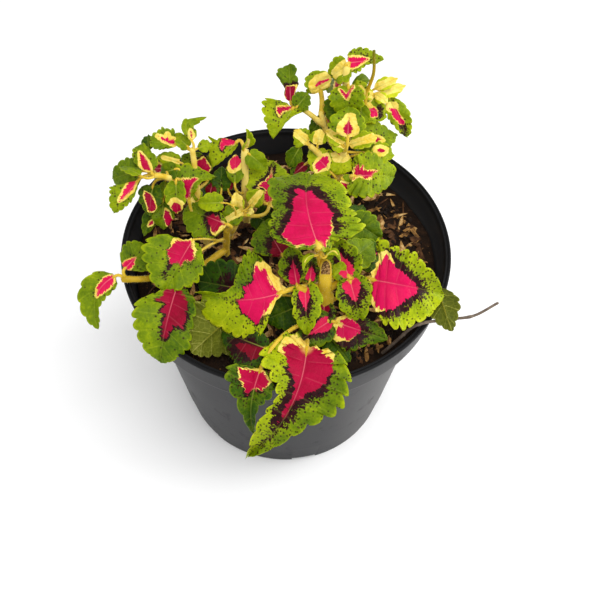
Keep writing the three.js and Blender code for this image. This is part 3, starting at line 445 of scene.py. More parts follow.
left_plant = {
    "tone": 1.0,
    "stems": [
        rooted(-35, 8, [(-39, 9, 118), (-46, 12, 133)], 1.6),
        shoot([(-44, 11, 129), (-49, 11, 134), (-54, 9, 137.5)], 1.2),
        shoot([(-37.5, 9, 112), (-38, 15, 130), (-39, 19, 143)], 1.2),
    ],
    "leaves": [
        leaf((-38, 14, 125), (-34, 18.4, 129), (-45, 25, 132.5), 13,
             marking(core=((-0.02, 0.11), (0.01, 0.48), (0.18, 0.64), (0.37, 0.78), (0.38, 0.51),
                           (0.53, 0.22), (0.37, -0.05), (0.19, 0.05), (0.03, 0.05)), halo=0.4, fringe=0.6,
                     magenta_tone_and_shade=0.6, green_tone_and_shade=0.4), teeth=4),
        leaf((-38, 9, 113), (-40.6, 6.8, 125), (-29.1, 15.9, 130), 16,
             marking(core=((0.32, -0.76), (0.46, -0.29), (0.62, -0.05), (0.39, 0.01), (0.15, 0.06),
                           (0.02, 0.05), (0.03, -0.06), (0.15, -0.35), (0.25, -0.54)), halo=0.5, magenta_tone_and_shade=0.66,
                     green_tone_and_shade=0.5), teeth=5, mid=(-38, 10.7, 132),
             left=edge((0.18, 0.54), (0.36, 1.16), (0.45, 1.26), (0.59, 0.96), (0.74, 0.56), (0.88, 0.18)),
             right=edge((0.18, 0.29), (0.4, 0.3), (0.63, 0.2), (0.86, 0.15))),
        leaf((-37, 9, 110), (-32.7, 14.3, 121), (-31, 20.5, 125), 7,
             marking(0.8, 0.7, magenta_tone_and_shade=0.28, green_tone_and_shade=0.25)),
        leaf((-43, 10, 126), (-45.4, 8.3, 134), (-45, 2, 122), 9,
             marking(core=((0.6, 0.25), (0.66, -0.35), (0.85, -0.4), (0.97, 0.1), (0.85, 0.5),
                           (0.72, 0.55)), halo=2.4, magenta_tone_and_shade=0.6, green_tone_and_shade=0.5), teeth=4, fold=24),
        leaf((-53, 9, 137), (-61, 8.8, 134), (-70.7, -2.1, 126), 13,
             marking(core=((-0.01, 0.07), (0.07, 0.32), (0.23, 0.36), (0.38, 0.31), (0.56, 0.22),
                           (0.67, 0.14), (0.57, 0.03), (0.4, -0.01), (0.28, -0.1), (0.11, 0)), halo=1,
                     magenta_tone_and_shade=0.9, green_tone_and_shade=0.56), teeth=5,
             left=edge((0.16, 0.28), (0.46, 0.47), (0.67, 0.46), (0.92, 0.16)),
             right=edge((0.3, 0.64), (0.51, 1.1), (0.66, 0.88), (0.89, 0.44))),
        leaf((-53, 9, 137), (-61, 12, 136), (-73, 14, 129), 12, plain(0.4), teeth=5),
        leaf((-53, 9, 137), (-59, 7, 139), (-68, 11, 139), 8, plain(0.5), outline=WEDGE, roll=60),
        leaf((-53, 9, 137), (-54.9, 9, 139), (-59.8, 21.4, 143), 11,
             marking(core=((0.03, -0.01), (0.17, -0.54), (0.3, -0.55), (0.7, -0.33), (0.52, -0.13),
                           (0.33, 0.01), (0.09, 0.01)), halo=1.1, magenta_tone_and_shade=0.6, green_tone_and_shade=0.5), teeth=5,
             left=edge((0.12, 0.5), (0.42, 0.9), (0.71, 0.9), (0.93, 0.55)),
             right=edge((0.11, 0.57), (0.35, 0.71), (0.82, 0.3))),
        leaf((-39, 19, 142), (-46.1, 22, 142), (-56, 19.3, 146), 12,
             marking(core=((0.03, 0.01), (0.1, 0.31), (0.29, 0.19), (0.37, 0.57), (0.42, 0.27),
                           (0.74, 0.43), (0.5, 0.15), (0.32, 0.04), (0.1, -0.03)), halo=1.2, magenta_tone_and_shade=0.8,
                     green_tone_and_shade=0.5), teeth=5, left=edge((0.06, 0.22), (0.41, 0.38), (0.68, 0.52), (0.95, 0.32)),
             right=edge((0.07, 0.61), (0.15, 1.01), (0.36, 0.96), (0.56, 1.03), (0.75, 0.75), (0.93, 0.5))),
        leaf((-39, 19, 142), (-39, 20.2, 146), (-32.9, 27.1, 153), 9,
             marking(core=((0.02, 0.06), (0.13, 0.22), (0.24, 0.43), (0.11, 0.4), (0.01, 0.2)), halo=1.3,
                     magenta_tone_and_shade=0.7, green_tone_and_shade=0.56), mid=(-41, 25, 151),
             left=edge((0.2, 0.3), (0.39, 0.43), (0.54, 0.44), (0.7, 0.12), (0.88, 0.06)),
             right=edge((0.02, 0.59), (0.17, 0.88), (0.5, 0.75), (0.79, 0.48), (0.91, 0.28))),
        leaf((-42, 10.5, 125), (-45, 18, 136), (-54, 19, 138), 7, pale_centre(0.6, 1)),
        leaf((-44, 11, 129), (-46, 14, 136), (-53, 15, 131), 8, plain(0.36)),
        leaf((-46, 12, 132), (-56, 12, 127), (-57, 2.1, 120), 10,
             marking(core=((0.21, 0.59), (0.25, 0.14), (0.45, -0.29), (0.69, -0.54), (0.84, -0.33),
                           (0.84, 0.08), (0.59, 0.31), (0.39, 0.58)), halo=0.5, magenta_tone_and_shade=0.5, green_tone_and_shade=0.3), teeth=4,
             fold=14),
        leaf((-44, 11, 128), (-54, 10.1, 120), (-60.5, 0.2, 109), 7.5,
             marking(core=((0.49, -0.32), (0.58, -0.07), (0.69, -0.07), (0.63, -0.39), (0.55, -0.5)),
                     halo=0.6, magenta_tone_and_shade=0.7, green_tone_and_shade=0.34), teeth=4, fold=14),
        leaf((-43, 11, 126), (-51.9, 8.8, 122), (-51.6, 0.6, 113), 10,
             marking(core=((0.29, -0.21), (0.36, -0.52), (0.65, -0.77), (0.84, -0.84), (0.93, -0.6),
                           (0.84, -0.29), (0.55, -0.06)), halo=0.6, magenta_tone_and_shade=0.6, green_tone_and_shade=0.4), teeth=4,
             outline=WEDGE),
        leaf((-37, 8.5, 112), (-28, 16, 122), (-28, 24, 128), 8, plain(0.22)),
        leaf((-39, 18, 140), (-37, 19, 143), (-31, 22, 143), 5, plain(0.6), outline=WEDGE),
        leaf((-39, 18, 138), (-41, 21, 142), (-47, 26, 144), 6, plain(0.6)),
        leaf((-44, 11, 128), (-51, 16, 127), (-52, 8, 119), 6, plain(0.5), outline=SLIM),
        leaf((-38, 9, 116), (-37, 11, 122), (-41, 15, 124), 5, plain(0.6)),
        leaf((-54, 9, 137), (-57, 20, 140), (-58, 27, 142), 6, plain(0.3), outline=SLIM),
        leaf((-38, 13, 123), (-41, 21, 123), (-49, 33, 113), 11,
             marking(0.5, 0.5, halo=0.8, magenta_tone_and_shade=0.5, green_tone_and_shade=0.36), teeth=5),
        leaf((-37, 9, 112), (-34, 17, 115), (-37, 31, 108), 10, plain(0.26), teeth=5),
        leaf((-49, 11, 134), (-52, 17, 133), (-60, 24, 124), 9,
             marking(0.5, 0.4, halo=0.8, magenta_tone_and_shade=0.5, green_tone_and_shade=0.4), teeth=4),
    ],
}

back_plant = {
    "tone": 1.08,
    "stems": [
        rooted(22, 37, [(23, 39, 130), (23, 43, 150), (23, 46, 164)], 1.55),
        shoot([(23, 38, 128), (29, 40, 139), (34, 46, 149)], 1.1),
        shoot([(22, 37, 122), (16, 38, 134), (13, 41, 144)], 1.1),
        shoot([(15, 39, 138), (8, 39, 145), (3, 39, 149)], 1.1),
        shoot([(31, 42, 144), (32, 45, 152), (34, 46.5, 161), (33.5, 48.5, 171)], 0.75, withered=0.72),
    ],
    "leaves": [
        leaf((23, 45, 162), (23.5, 47.6, 165), (38.1, 51.2, 164), 12,
             marking(core=((0.02, -0.38), (0.44, -0.22), (0.55, -0.12), (0.37, 0.08), (0.24, 0.33),
                           (0.05, 0.41), (-0.01, -0.05)), halo=0.9, magenta_tone_and_shade=0.85, green_tone_and_shade=0.58, speckle=1),
             teeth=6,
             left=edge((0, 0.45), (0.08, 0.77), (0.31, 0.94), (0.58, 0.8), (0.77, 0.5), (0.92, 0.25)),
             right=edge((0.02, 0.47), (0.22, 0.75), (0.47, 0.3), (0.74, 0.22))),
        leaf((23, 45, 161), (23, 47.5, 164), (16.8, 48.7, 156), 11, pale_centre(0.55, 2.4, 0.6), teeth=4,
             fold=20, stalk=1.8),
        leaf((13, 41, 143), (12.7, 47, 150), (9.2, 50.4, 158), 12,
             marking(core=((0.4, -0.26), (0.48, 0.14), (0.47, 0.8), (0.38, 0.85), (0.38, 0.44),
                           (0.28, -0.19)), halo=3, magenta_tone_and_shade=0.9, green_tone_and_shade=0.58), teeth=4, fold=20, stalk=1.8,
             left=edge((0.1, 0.7), (0.5, 1.01), (0.85, 0.67)),
             right=edge((0.02, 0.58), (0.36, 0.96), (0.6, 1.14), (0.85, 0.62))),
        leaf((23, 43, 152), (23.9, 42, 157), (24.3, 37.9, 145), 15,
             marking(core=((0.04, 0.52), (0.08, 0.32), (0.18, 0.14), (0.09, -0.03), (-0.05, -0.26),
                           (0.02, -0.31), (0.12, -0.14), (0.37, 0.03), (0.31, 0.2), (0.14, 0.38)), halo=0.7,
                     magenta_tone_and_shade=0.7, green_tone_and_shade=0.53), teeth=5, fold=16),
        leaf((29, 40, 139), (31, 42, 146), (41, 43.1, 141), 12,
             marking(core=((0.11, 0.17), (0.2, -0.07), (0.39, -0.2), (0.54, -0.06), (0.56, 0.3),
                           (0.39, 0.51), (0.21, 0.41)), cream=2.4, halo=0.3, magenta_tone_and_shade=0.85, green_tone_and_shade=0.62,
                     trail=((0.4, 0.4), (0.6, 0.5), (0.8, 0.2), (0.75, -0.3), (0.5, -0.4), (0.45, -0.1))),
             teeth=4),
        leaf((34, 46, 149), (41.4, 48, 147), (50.9, 41, 130), 12,
             marking(core=((0.21, 0.31), (0.28, -0.12), (0.42, -0.15), (0.61, -0.26), (0.68, -0.1),
                           (0.59, 0.2), (0.41, 0.35)), cream=2.6, halo=0.3, magenta_tone_and_shade=0.85, green_tone_and_shade=0.6,
                     trail=((0.55, 0.3), (0.74, 0.26), (0.94, 0.04), (0.76, -0.2), (0.6, -0.3))), teeth=5,
             left=edge((0.16, 0.58), (0.44, 0.86), (0.71, 0.7), (0.92, 0.38)),
             right=edge((0.12, 0.49), (0.35, 0.68), (0.56, 0.6), (0.78, 0.41))),
        leaf((34, 46, 148), (36.8, 46.9, 149), (48.4, 50.6, 151), 6, pale_centre(0.85, 1.7, 0.9),
             outline=SLIM),
        leaf((4, 39, 148), (0.4, 39.7, 150), (-0.6, 51.9, 160), 10,
             marking(core=((0.42, -0.34), (0.42, 0.54), (0.23, 0.38), (0.03, 0.22), (0.06, -0.3),
                           (0.19, -0.46)), halo=0.4, fringe=1, magenta_tone_and_shade=0.45, green_tone_and_shade=0.38), teeth=4, fold=20,
             left=edge((0.14, 0.46), (0.37, 0.45), (0.6, 0.84), (0.78, 1.1), (0.89, 0.63)),
             right=edge((0.08, 0.32), (0.33, 0.53), (0.53, 0.73), (0.72, 0.5), (0.9, 0.61))),
        leaf((4, 39, 148), (1.5, 37.6, 149), (-6.5, 28.5, 140), 18,
             marking(core=((0.22, 0.63), (0.03, 0.18), (-0.15, -0.01), (-0.28, -0.02), (-0.28, -0.18),
                           (-0.13, -0.14), (0.05, 0.06), (0.21, 0.27), (0.38, 0.3), (0.33, 0.5)), halo=0.5,
                     fringe=0.4, magenta_tone_and_shade=0.66, green_tone_and_shade=0.63), teeth=6,
             left=edge((-0.15, 0.1), (-0.28, 0.25), (-0.26, 0.5), (-0.2, 0.6), (-0.08, 0.47), (0.09, 0.27),
                       (0.4, 0.12), (0.72, 0.06)),
             right=edge((0.01, 0.5), (0.08, 0.87), (0.21, 1.29), (0.41, 1.22), (0.66, 0.86), (0.82, 0.5),
                        (0.94, 0.2))),
        leaf((14, 40, 141), (14, 43, 143), (20, 46, 145), 8, pale_centre(0.4, 1.4), roll=150),
        leaf((23, 43, 148), (30, 44, 150), (28, 49, 155), 8,
             marking(0.5, 0.3, halo=1.4, magenta_tone_and_shade=0.4, green_tone_and_shade=0.68)),
        leaf((29, 40, 139), (30, 42, 149), (29, 33, 140), 8, plain(0.5), outline=SLIM),
        leaf((23, 43, 146), (23, 44, 149), (19, 37, 138), 14, plain(0.3), teeth=5),
        leaf((34, 46, 148), (35, 49, 150), (45, 52, 154), 6, pale_centre(0.85, 1.7, 0.9), outline=SLIM),
        leaf((34, 46, 148), (35, 46, 149), (30.5, 46.5, 150), 5, pale_centre(0.85, 1.6, 0.9), outline=SLIM),
        leaf((34, 46, 148.5), (35.5, 46, 150), (41, 43, 148), 5, pale_centre(0.85, 1.6, 0.9), outline=SLIM),
        leaf((3, 39, 149), (3.1, 37.4, 150), (7.9, 42.6, 153), 8, plain(0.42, 1), teeth=4, fold=20),
        leaf((16, 38, 134), (14, 43, 138), (9, 39, 133), 7, plain(0.3)),
        leaf((23, 44, 153), (25, 47, 153), (33, 54, 151), 5, plain(0.4, halo=1), outline=SLIM, arch=3),
        leaf((23, 39, 126), (23, 44, 128), (27, 58, 119), 12, marking(0.5, 0.5, halo=1, magenta_tone_and_shade=0.5, green_tone_and_shade=0.4),
             teeth=5, fold=14),
        leaf((23, 40, 133), (20, 45, 134), (12, 57, 127), 11, marking(0.5, 0.4, halo=1, magenta_tone_and_shade=0.5, green_tone_and_shade=0.36),
             teeth=5, fold=14),
        leaf((30, 42, 141), (34, 49, 141), (42, 59, 131), 10,
             marking(0.5, 0.5, halo=0.8, magenta_tone_and_shade=0.6, green_tone_and_shade=0.44), teeth=4),
        leaf((23, 44, 156), (21, 48, 154), (17, 57, 144), 9, marking(0.4, 0.5, halo=1.2, magenta_tone_and_shade=0.6, green_tone_and_shade=0.4),
             teeth=4, fold=16),
        leaf((23, 38, 116), (30, 42, 118), (42, 50, 110), 11, plain(0.3), teeth=5),
    ],
}

low_back_plant = {
    "tone": 1.0,
    "stems": [
        rooted(20, 22, [(22, 26, 120), (23, 28, 136)], 1.7),
        shoot([(21, 24, 110), (25, 21, 121), (27, 19, 129)], 1.3),
        shoot([(22.5, 26.5, 122), (14, 27, 132), (9, 27, 138)], 1.2),
    ],
    "leaves": [
        leaf((23, 28, 135), (27.3, 32, 136), (46.4, 40.4, 132), 14,
             marking(core=((0.21, -0.43), (0.32, -0.26), (0.5, -0.09), (0.62, 0.12), (0.47, 0.25),
                           (0.38, -0.01), (0.22, -0.05)), halo=1.1, magenta_tone_and_shade=0.6, green_tone_and_shade=0.51), outline=WEDGE,
             teeth=5),
        leaf((23, 28, 135), (24.1, 24.3, 146), (24.3, 35.6, 153), 15,
             marking(core=((0.58, 0.05), (0.25, 0.24), (0.14, 0.16), (0.09, -0.06), (0.18, -0.26),
                           (0.36, -0.25), (0.46, -0.06)), halo=2.6, magenta_tone_and_shade=0.6, green_tone_and_shade=0.51), outline=WEDGE,
             teeth=4),
        leaf((27, 19, 127), (27.1, 18.7, 129.5), (45, 24.8, 123), 24,
             marking(core=((0.03, -0.25), (0.1, -0.37), (0.12, -0.2), (0.2, -0.36), (0.19, -0.18),
                           (0.32, -0.16), (0.53, -0.18), (0.41, -0.09), (0.36, 0.09), (0.26, 0.08),
                           (0.1, -0.03), (0, 0.14), (-0.04, 0.07), (0.02, -0.07)), halo=0.9, magenta_tone_and_shade=0.66,
                     green_tone_and_shade=0.56), teeth=7, arch=3,
             left=edge((0, 0.25), (0.03, 0.6), (0.11, 0.74), (0.31, 0.84), (0.53, 0.7), (0.78, 0.54),
                       (0.95, 0.35)),
             right=edge((-0.04, 0.29), (-0.11, 0.43), (-0.06, 0.65), (0.08, 0.76), (0.27, 0.78),
                        (0.5, 0.63), (0.72, 0.44), (0.9, 0.24))),
        leaf((26, 20, 125), (22.9, 17.9, 128), (29.8, 17.2, 121), 8,
             marking(core=((0.02, 0.32), (0.29, 0.06), (0.59, 0.09), (0.55, 0.54), (0.25, 0.59)), halo=1,
                     magenta_tone_and_shade=0.6, green_tone_and_shade=0.56)),
        leaf((23, 28, 134), (34, 27.9, 134), (44.7, 31.3, 130), 9,
             marking(core=((0.24, -0.35), (0.4, -0.46), (0.59, -0.25), (0.44, -0.04), (0.28, -0.12)),
                     halo=1.6, magenta_tone_and_shade=0.6, green_tone_and_shade=0.61), outline=WEDGE, teeth=4),
        leaf((23, 28, 132), (23.9, 28.1, 134), (20.1, 21.4, 127), 11,
             marking(core=((0.16, 0.54), (0.15, 0.21), (0.05, 0.04), (0.19, 0.09), (0.24, 0.39)), halo=3.2,
                     magenta_tone_and_shade=0.7, green_tone_and_shade=0.72), outline=WEDGE, teeth=4),
        leaf((21, 24, 115), (18.2, 21.6, 128), (8.4, 29.1, 134), 12,
             marking(core=((0.47, 0.61), (0.27, 0.37), (0.22, -0.03), (0.34, -0.69), (0.51, -0.52),
                           (0.53, -0.15), (0.53, 0.25)), halo=1.3, magenta_tone_and_shade=0.8, green_tone_and_shade=0.66), teeth=5),
        leaf((9, 27, 137), (8, 29, 138), (2, 31.5, 142), 9, pale_centre(0.6, 2, 0.8), outline=WEDGE,
             teeth=4),
        leaf((12, 27, 134.5), (12, 28, 138), (13, 32, 143), 8, pale_centre(0.66, 2.1, 0.8), outline=WEDGE),
        leaf((9, 27, 137), (5, 28, 137), (0, 24, 128), 7, plain(0.36), outline=WEDGE, fold=24),
        leaf((23, 28, 135), (22, 29, 139), (15, 30, 144), 8, pale_centre(0.66, 2, 0.8), outline=WEDGE,
             teeth=4, fold=36),
        leaf((23, 28, 135), (22, 28, 138), (16, 28, 141), 8, pale_centre(0.66, 2, 0.8), teeth=4, fold=36),
        leaf((23, 28, 134), (25, 29, 137), (37, 32.5, 139), 8, pale_centre(0.66, 1.9, 0.85), outline=WEDGE,
             teeth=4, fold=36),
        leaf((13, 27, 132), (7, 26, 128), (1, 22, 124), 7, marking(0.8, 0.7, magenta_tone_and_shade=0.24, green_tone_and_shade=0.31)),
    ],
}

plants = {
    "leafy_stem_front": front_plant,
    "leafy_stem_low_left": low_left_plant,
    "leafy_stem_middle": middle_plant,
    "leafy_stem_tall_left": tall_left_plant,
    "leafy_stem_left": left_plant,
    "leafy_stem_back": back_plant,
    "leafy_stem_low_back": low_back_plant,
}

# ---- materials ----
class Shade:
    """A value on its way through a material. Arithmetic on it adds Math nodes."""

    def __init__(self, tree, socket=None):
        self.tree = tree
        self.socket = socket

    def node(self, kind, inputs=None, output=0, stops=None, **settings):
        made = self.tree.nodes.new(kind)
        for name, value in settings.items():
            setattr(made, name, value)
        if stops:
            ramp = made.color_ramp
            while len(ramp.elements) < len(stops):
                ramp.elements.new(0.5)
            for element, (place, tint) in zip(ramp.elements, stops):
                element.position = place
                element.color = tint
        for name, value in (inputs or {}).items():
            if isinstance(value, Shade):
                self.tree.links.new(value.socket, made.inputs[name])
            else:
                made.inputs[name].default_value = value
        return Shade(self.tree, made.outputs[output])

    def math(self, operation, *others):
        return self.node("ShaderNodeMath", dict(enumerate((self, *others))), operation=operation)

    def __add__(self, other):
        return self.math("ADD", other)

    def __sub__(self, other):
        return self.math("SUBTRACT", other)

    def __rsub__(self, other):
        return self.node("ShaderNodeMath", {0: other, 1: self}, operation="SUBTRACT")

    def __mul__(self, other):
        return self.math("MULTIPLY", other)

    __radd__ = __add__
    __rmul__ = __mul__

    def step(self, low, high):
        """Rises smoothly from 0 to 1 as the value goes from low to high."""
        return self.node("ShaderNodeMapRange", {"Value": self, "From Min": low, "From Max": high},
                         interpolation_type="SMOOTHSTEP")

    def parts(self):
        return [self.node("ShaderNodeSeparateXYZ", {0: self}, output=axis) for axis in range(3)]

    def ramp(self, stops):
        return self.node("ShaderNodeValToRGB", {0: self}, stops=stops)

    def mix(self, factor, first, second):
        return self.node("ShaderNodeMix", {0: factor, 6: first, 7: second}, output=2, data_type="RGBA")

    def attribute(self, name):
        return self.node("ShaderNodeAttribute", output=1, attribute_name=name)

    def joined(self, x, y, z):
        return self.node("ShaderNodeCombineXYZ", {0: x, 1: y, 2: z})

    def noise(self, where, scale, detail=2.0, roughness=0.5):
        return self.node("ShaderNodeTexNoise", {"Vector": where, "Scale": scale, "Detail": detail,
                                                "Roughness": roughness})

    def cells(self, where, scale, output=0, **settings):
        return self.node("ShaderNodeTexVoronoi", {"Vector": where, "Scale": scale}, output, **settings)


def color(red, green, blue):
    """A colour given as it looks on a screen, 0 to 255, as light."""
    light = (((part / 255 + 0.055) / 1.055) ** 2.4 if part > 10 else part / 255 / 12.92
             for part in (red, green, blue))
    return (*light, 1)


def new_material(name, roughness, specular=0.5):
    material = bpy.data.materials.new(name)
    material.use_nodes = True
    tree = material.node_tree
    surface = tree.nodes["Principled BSDF"]
    surface.inputs["Roughness"].default_value = roughness
    surface.inputs["Specular IOR Level"].default_value = specular
    shade = Shade(tree)
    where = shade.node("ShaderNodeTexCoord", output="Object")
    return material, shade, surface, where


def finish_material(shade, surface, paint, roughness=None, height=None, bump=0.3, distance=0.0002):
    shade.tree.links.new(paint.socket, surface.inputs["Base Color"])
    if roughness:
        shade.tree.links.new(roughness.socket, surface.inputs["Roughness"])
    if height:
        normal = shade.node("ShaderNodeBump", {"Strength": bump, "Distance": distance, "Height": height})
        shade.tree.links.new(normal.socket, surface.inputs["Normal"])


def leaf_fields(shade, where):
    """What a leaf's paint depends on: how far past each patch a point lies, veins and unevenness."""
    to_core, fringe, cream = shade.attribute("leaf_marking").parts()
    across, vein, reach = shade.attribute("leaf_place").parts()
    magenta_tone_and_shade, green_tone_and_shade, seed = shade.attribute("leaf_tone").parts()
    under, speckle, from_base = shade.attribute("leaf_side").parts()
    along_veins = shade.joined(vein * 7, reach * 2.5, seed * 31)
    jag = shade.noise(along_veins, 1.0, 3.0, 0.6) - 0.5
    fray = shade.noise(along_veins, 2.3, 3.0, 0.7) - 0.5
    fine = shade.noise(where, 900, 3.0) - 0.5
    soft = shade.noise(where, 160, 2.0) - 0.5
    blotch = shade.noise(where, 430, 3.0, 0.6) - 0.5
    past_core = to_core + jag * 4.2 + blotch * 1.8
    past_cream = past_core - cream + (soft * 4.0 - jag * 2.6 - blotch * 1.2) * cream.math("MINIMUM", 1.0)
    past_fringe = past_cream - fringe + (fray * 2.6 + blotch * 2.2) * fringe
    return SimpleNamespace(
        where=where, magenta_tone_and_shade=magenta_tone_and_shade, green_tone_and_shade=green_tone_and_shade, under=under, speckle=speckle, from_base=from_base,
        jag=jag, fine=fine, soft=soft, blotch=blotch,
        past_core=past_core, past_cream=past_cream, past_fringe=past_fringe,
        no_fringe=1 - fringe.step(0.1, 0.6),
        vein_line=1 - vein.math("PINGPONG", 0.5).step(0.012, 0.06),
        rib_line=1 - across.math("ABSOLUTE").step(0.1, 0.32),
        net_line=1 - shade.cells(where, 520, feature="DISTANCE_TO_EDGE").step(0.0, 0.16),
        margin=reach.step(0.88, 1.0))


def leaf_green(leaf):
    """The green between the patches: lighter towards the margin, and lighter or darker with the leaf's green
    tone, which is partly painted shade.
    """
    return (leaf.green_tone_and_shade + leaf.margin * 0.18 + leaf.soft * 0.42 + leaf.fine * 0.25
            + leaf.vein_line * 0.05 + leaf.net_line * 0.04 - 0.02).ramp((
                (0.0, color(14, 36, 3)), (0.25, color(48, 78, 3)), (0.5, color(106, 128, 3)),
                (0.75, color(160, 174, 6)), (1.0, color(206, 210, 36))))


def leaf_specks(shade, leaf, scale=900):
    """Dark specks, more and larger ones near the fringe."""
    near = 1 - leaf.past_fringe.step(0.0, 11.0)
    size = near * 0.2 + 0.26 + leaf.soft * 0.2
    chance = shade.cells(leaf.where, scale, output=1).parts()[0]
    chosen = (leaf.speckle * (near * 0.8 + 0.2 + leaf.blotch * 0.6) - chance).step(0.0, 0.04)
    return chosen * (1 - shade.cells(leaf.where, scale).step(size * 0.6, size * 1.15))


def upper_face(shade, leaf):
    """Green, then the maroon fringe, the yellow band and the magenta core over one another."""
    maroon = (leaf.fine + 0.5).ramp(((0.3, color(20, 4, 6)), (0.8, color(60, 14, 20))))
    yellow = (leaf.soft + leaf.fine + 0.5).ramp(((0.2, color(224, 192, 58)), (0.75, color(246, 226, 120))))
    # The magenta is lighter or darker with the leaf's magenta tone, which is partly painted shade on leaves
    # that lie in shade.
    magenta = (leaf.magenta_tone_and_shade + leaf.soft * 0.3 + leaf.jag * 0.15 + leaf.fine * 0.1).ramp((
        (0.0, color(50, 1, 8)), (0.3, color(112, 1, 24)), (0.6, color(170, 2, 54)),
        (0.82, color(204, 6, 78)), (1.0, color(216, 34, 78))))
    green = shade.mix(leaf_specks(shade, leaf) * 0.85, leaf_green(leaf), maroon)
    beyond_fringe = leaf.past_fringe.step(-0.1, 0.3).math("MAXIMUM", leaf.no_fringe)
    paint = shade.mix(beyond_fringe, maroon, green)
    paint = shade.mix(leaf.past_cream.step(-0.36, 0.02), yellow, paint)
    paint = shade.mix(leaf.past_core.step(-0.1, 0.1), magenta, paint)
    beyond_core = leaf.past_core.step(-0.2, 0.2)
    pale = shade.mix(beyond_core, color(240, 120, 130), color(172, 180, 70))
    rib_share = leaf.rib_line * (0.6 - leaf.from_base.step(0.0, 0.6) * 0.46)
    vein_share = leaf.vein_line * (0.06 + (1 - beyond_core) * 0.03)
    paint = shade.mix(rib_share + vein_share, paint, pale)
    return shade.mix((1 - leaf.from_base.step(0.0, 0.07)) * 0.8, paint, yellow)


def lower_face(shade, leaf):
    """A pale green, through which the yellow band and the core show faintly."""
    # The green tone darkens or lightens the underside as well, partly as painted shade.
    tone = (leaf.soft * 0.5 + leaf.vein_line * 0.4 + leaf.rib_line * 0.4 + leaf.net_line * 0.2
            + leaf.margin * 0.3 + leaf.fine * 0.2 + leaf.green_tone_and_shade * 0.8 - 0.28)
    paint = tone.ramp(((0.0, color(64, 72, 10)), (0.45, color(100, 106, 24)), (1.0, color(158, 156, 74))))
    paint = shade.mix((1 - leaf.past_cream.step(-0.6, 0.6)) * 0.85, paint, color(238, 204, 116))
    return shade.mix((1 - leaf.past_core.step(-0.5, 0.8)) * 0.5, paint, color(168, 60, 52))


def leaf_skin():
    material, shade, surface, where = new_material("coleus_leaf_skin", 0.5, 0.1)
    leaf = leaf_fields(shade, where)
    paint = shade.mix(leaf.under, upper_face(shade, leaf), lower_face(shade, leaf))
    rough = 0.48 + leaf.fine * 0.2 + leaf.under * 0.12
    grain = shade.cells(where, 1500, feature="SMOOTH_F1")
    raised = leaf.vein_line * 0.8 + leaf.rib_line * 0.5 + leaf.net_line * 0.35
    height = leaf.fine * 0.5 + grain * 0.4 + leaf.blotch * 0.6 + raised * (leaf.under * 2.4 - 1.0)
    finish_material(shade, surface, paint, rough, height, 0.5, 0.0003)
    return material


def stem_skin():
    material, shade, surface, where = new_material("coleus_stem_skin", 0.42, 0.16)
    share, tone, seed = shade.attribute("stem_place").parts()
    streaks = shade.noise(shade.joined(share * 2.0, seed * 17, tone), 3.0, 2.0) - 0.5
    mottled = shade.noise(where, 260, 3.0) - 0.5
    fine = shade.noise(where, 1800, 2.0) - 0.5
    paint = (tone + mottled * 0.35 + streaks * 0.2).ramp((
        (0.0, color(66, 72, 8)), (0.3, color(116, 114, 12)), (0.6, color(174, 140, 12)),
        (0.85, color(214, 180, 50)), (1.0, color(238, 214, 110))))
    finish_material(shade, surface, paint, 0.4 + mottled * 0.3, fine + mottled, 0.25, 0.0001)
    return material


def hair_skin():
    material, shade, surface, where = new_material("coleus_hair", 0.5)
    paint = shade.noise(where, 300, 1.0).ramp(((0.3, color(196, 190, 110)), (0.7, color(232, 228, 178))))
    finish_material(shade, surface, paint)
    return material


def pith_skin():
    material, shade, surface, where = new_material("dry_pith", 0.9, 0.2)
    speck = shade.noise(where, 1300, 4.0, 0.7)
    paint = speck.ramp(((0.36, color(44, 28, 12)), (0.5, color(124, 88, 46)), (0.66, color(190, 150, 92))))
    finish_material(shade, surface, paint, None, speck, 0.8, 0.0004)
    return material


def pot_plastic():
    material, shade, surface, where = new_material("nursery_pot_plastic", 0.42, 0.07)
    cloud = shade.noise(where, 26, 3.0) - 0.5
    grain = shade.noise(where, 2600, 2.0) - 0.5
    x, y, z = where.parts()
    drawn = shade.noise(shade.joined(x * 900, y * 900, z * 60), 1.0, 3.0) - 0.5
    dust = shade.noise(where, 95, 5.0, 0.65).step(0.56, 0.78)
    scratch = shade.noise(shade.joined(x * 60, y * 60, z * 1500), 1.0, 2.0).step(0.7, 0.76)
    paint = (cloud * 0.5 + grain * 0.3 + 0.5).ramp(((0.2, color(32, 32, 34)), (0.8, color(44, 44, 46))))
    paint = shade.mix(dust * 0.12 + scratch * 0.08, paint, color(96, 92, 86))
    # The +x side of the wall below the rim is painted lighter: a painted highlight on the side that the low
    # right light faces.
    painted_highlight = (x + cloud * 0.012).step(0.018, 0.046) * (1 - z.step(0.086, 0.1))
    paint = shade.mix(painted_highlight * 0.22, paint, color(112, 108, 104))
    inside = (z * 0.16 + 0.046 - (x * x + y * y).math("SQRT")).step(0.0, 0.0016)
    shaded = inside.math("MAXIMUM", z.step(0.1025, 0.105) * 0.7)
    paint = shade.mix(shaded * 0.9, paint, color(5, 5, 5))
    rough = 0.4 + cloud * 0.12 + dust * 0.2 + grain * 0.1
    finish_material(shade, surface, paint, rough, grain * 0.5 + drawn * 0.3 - scratch * 0.4, 0.16, 0.00012)
    return material


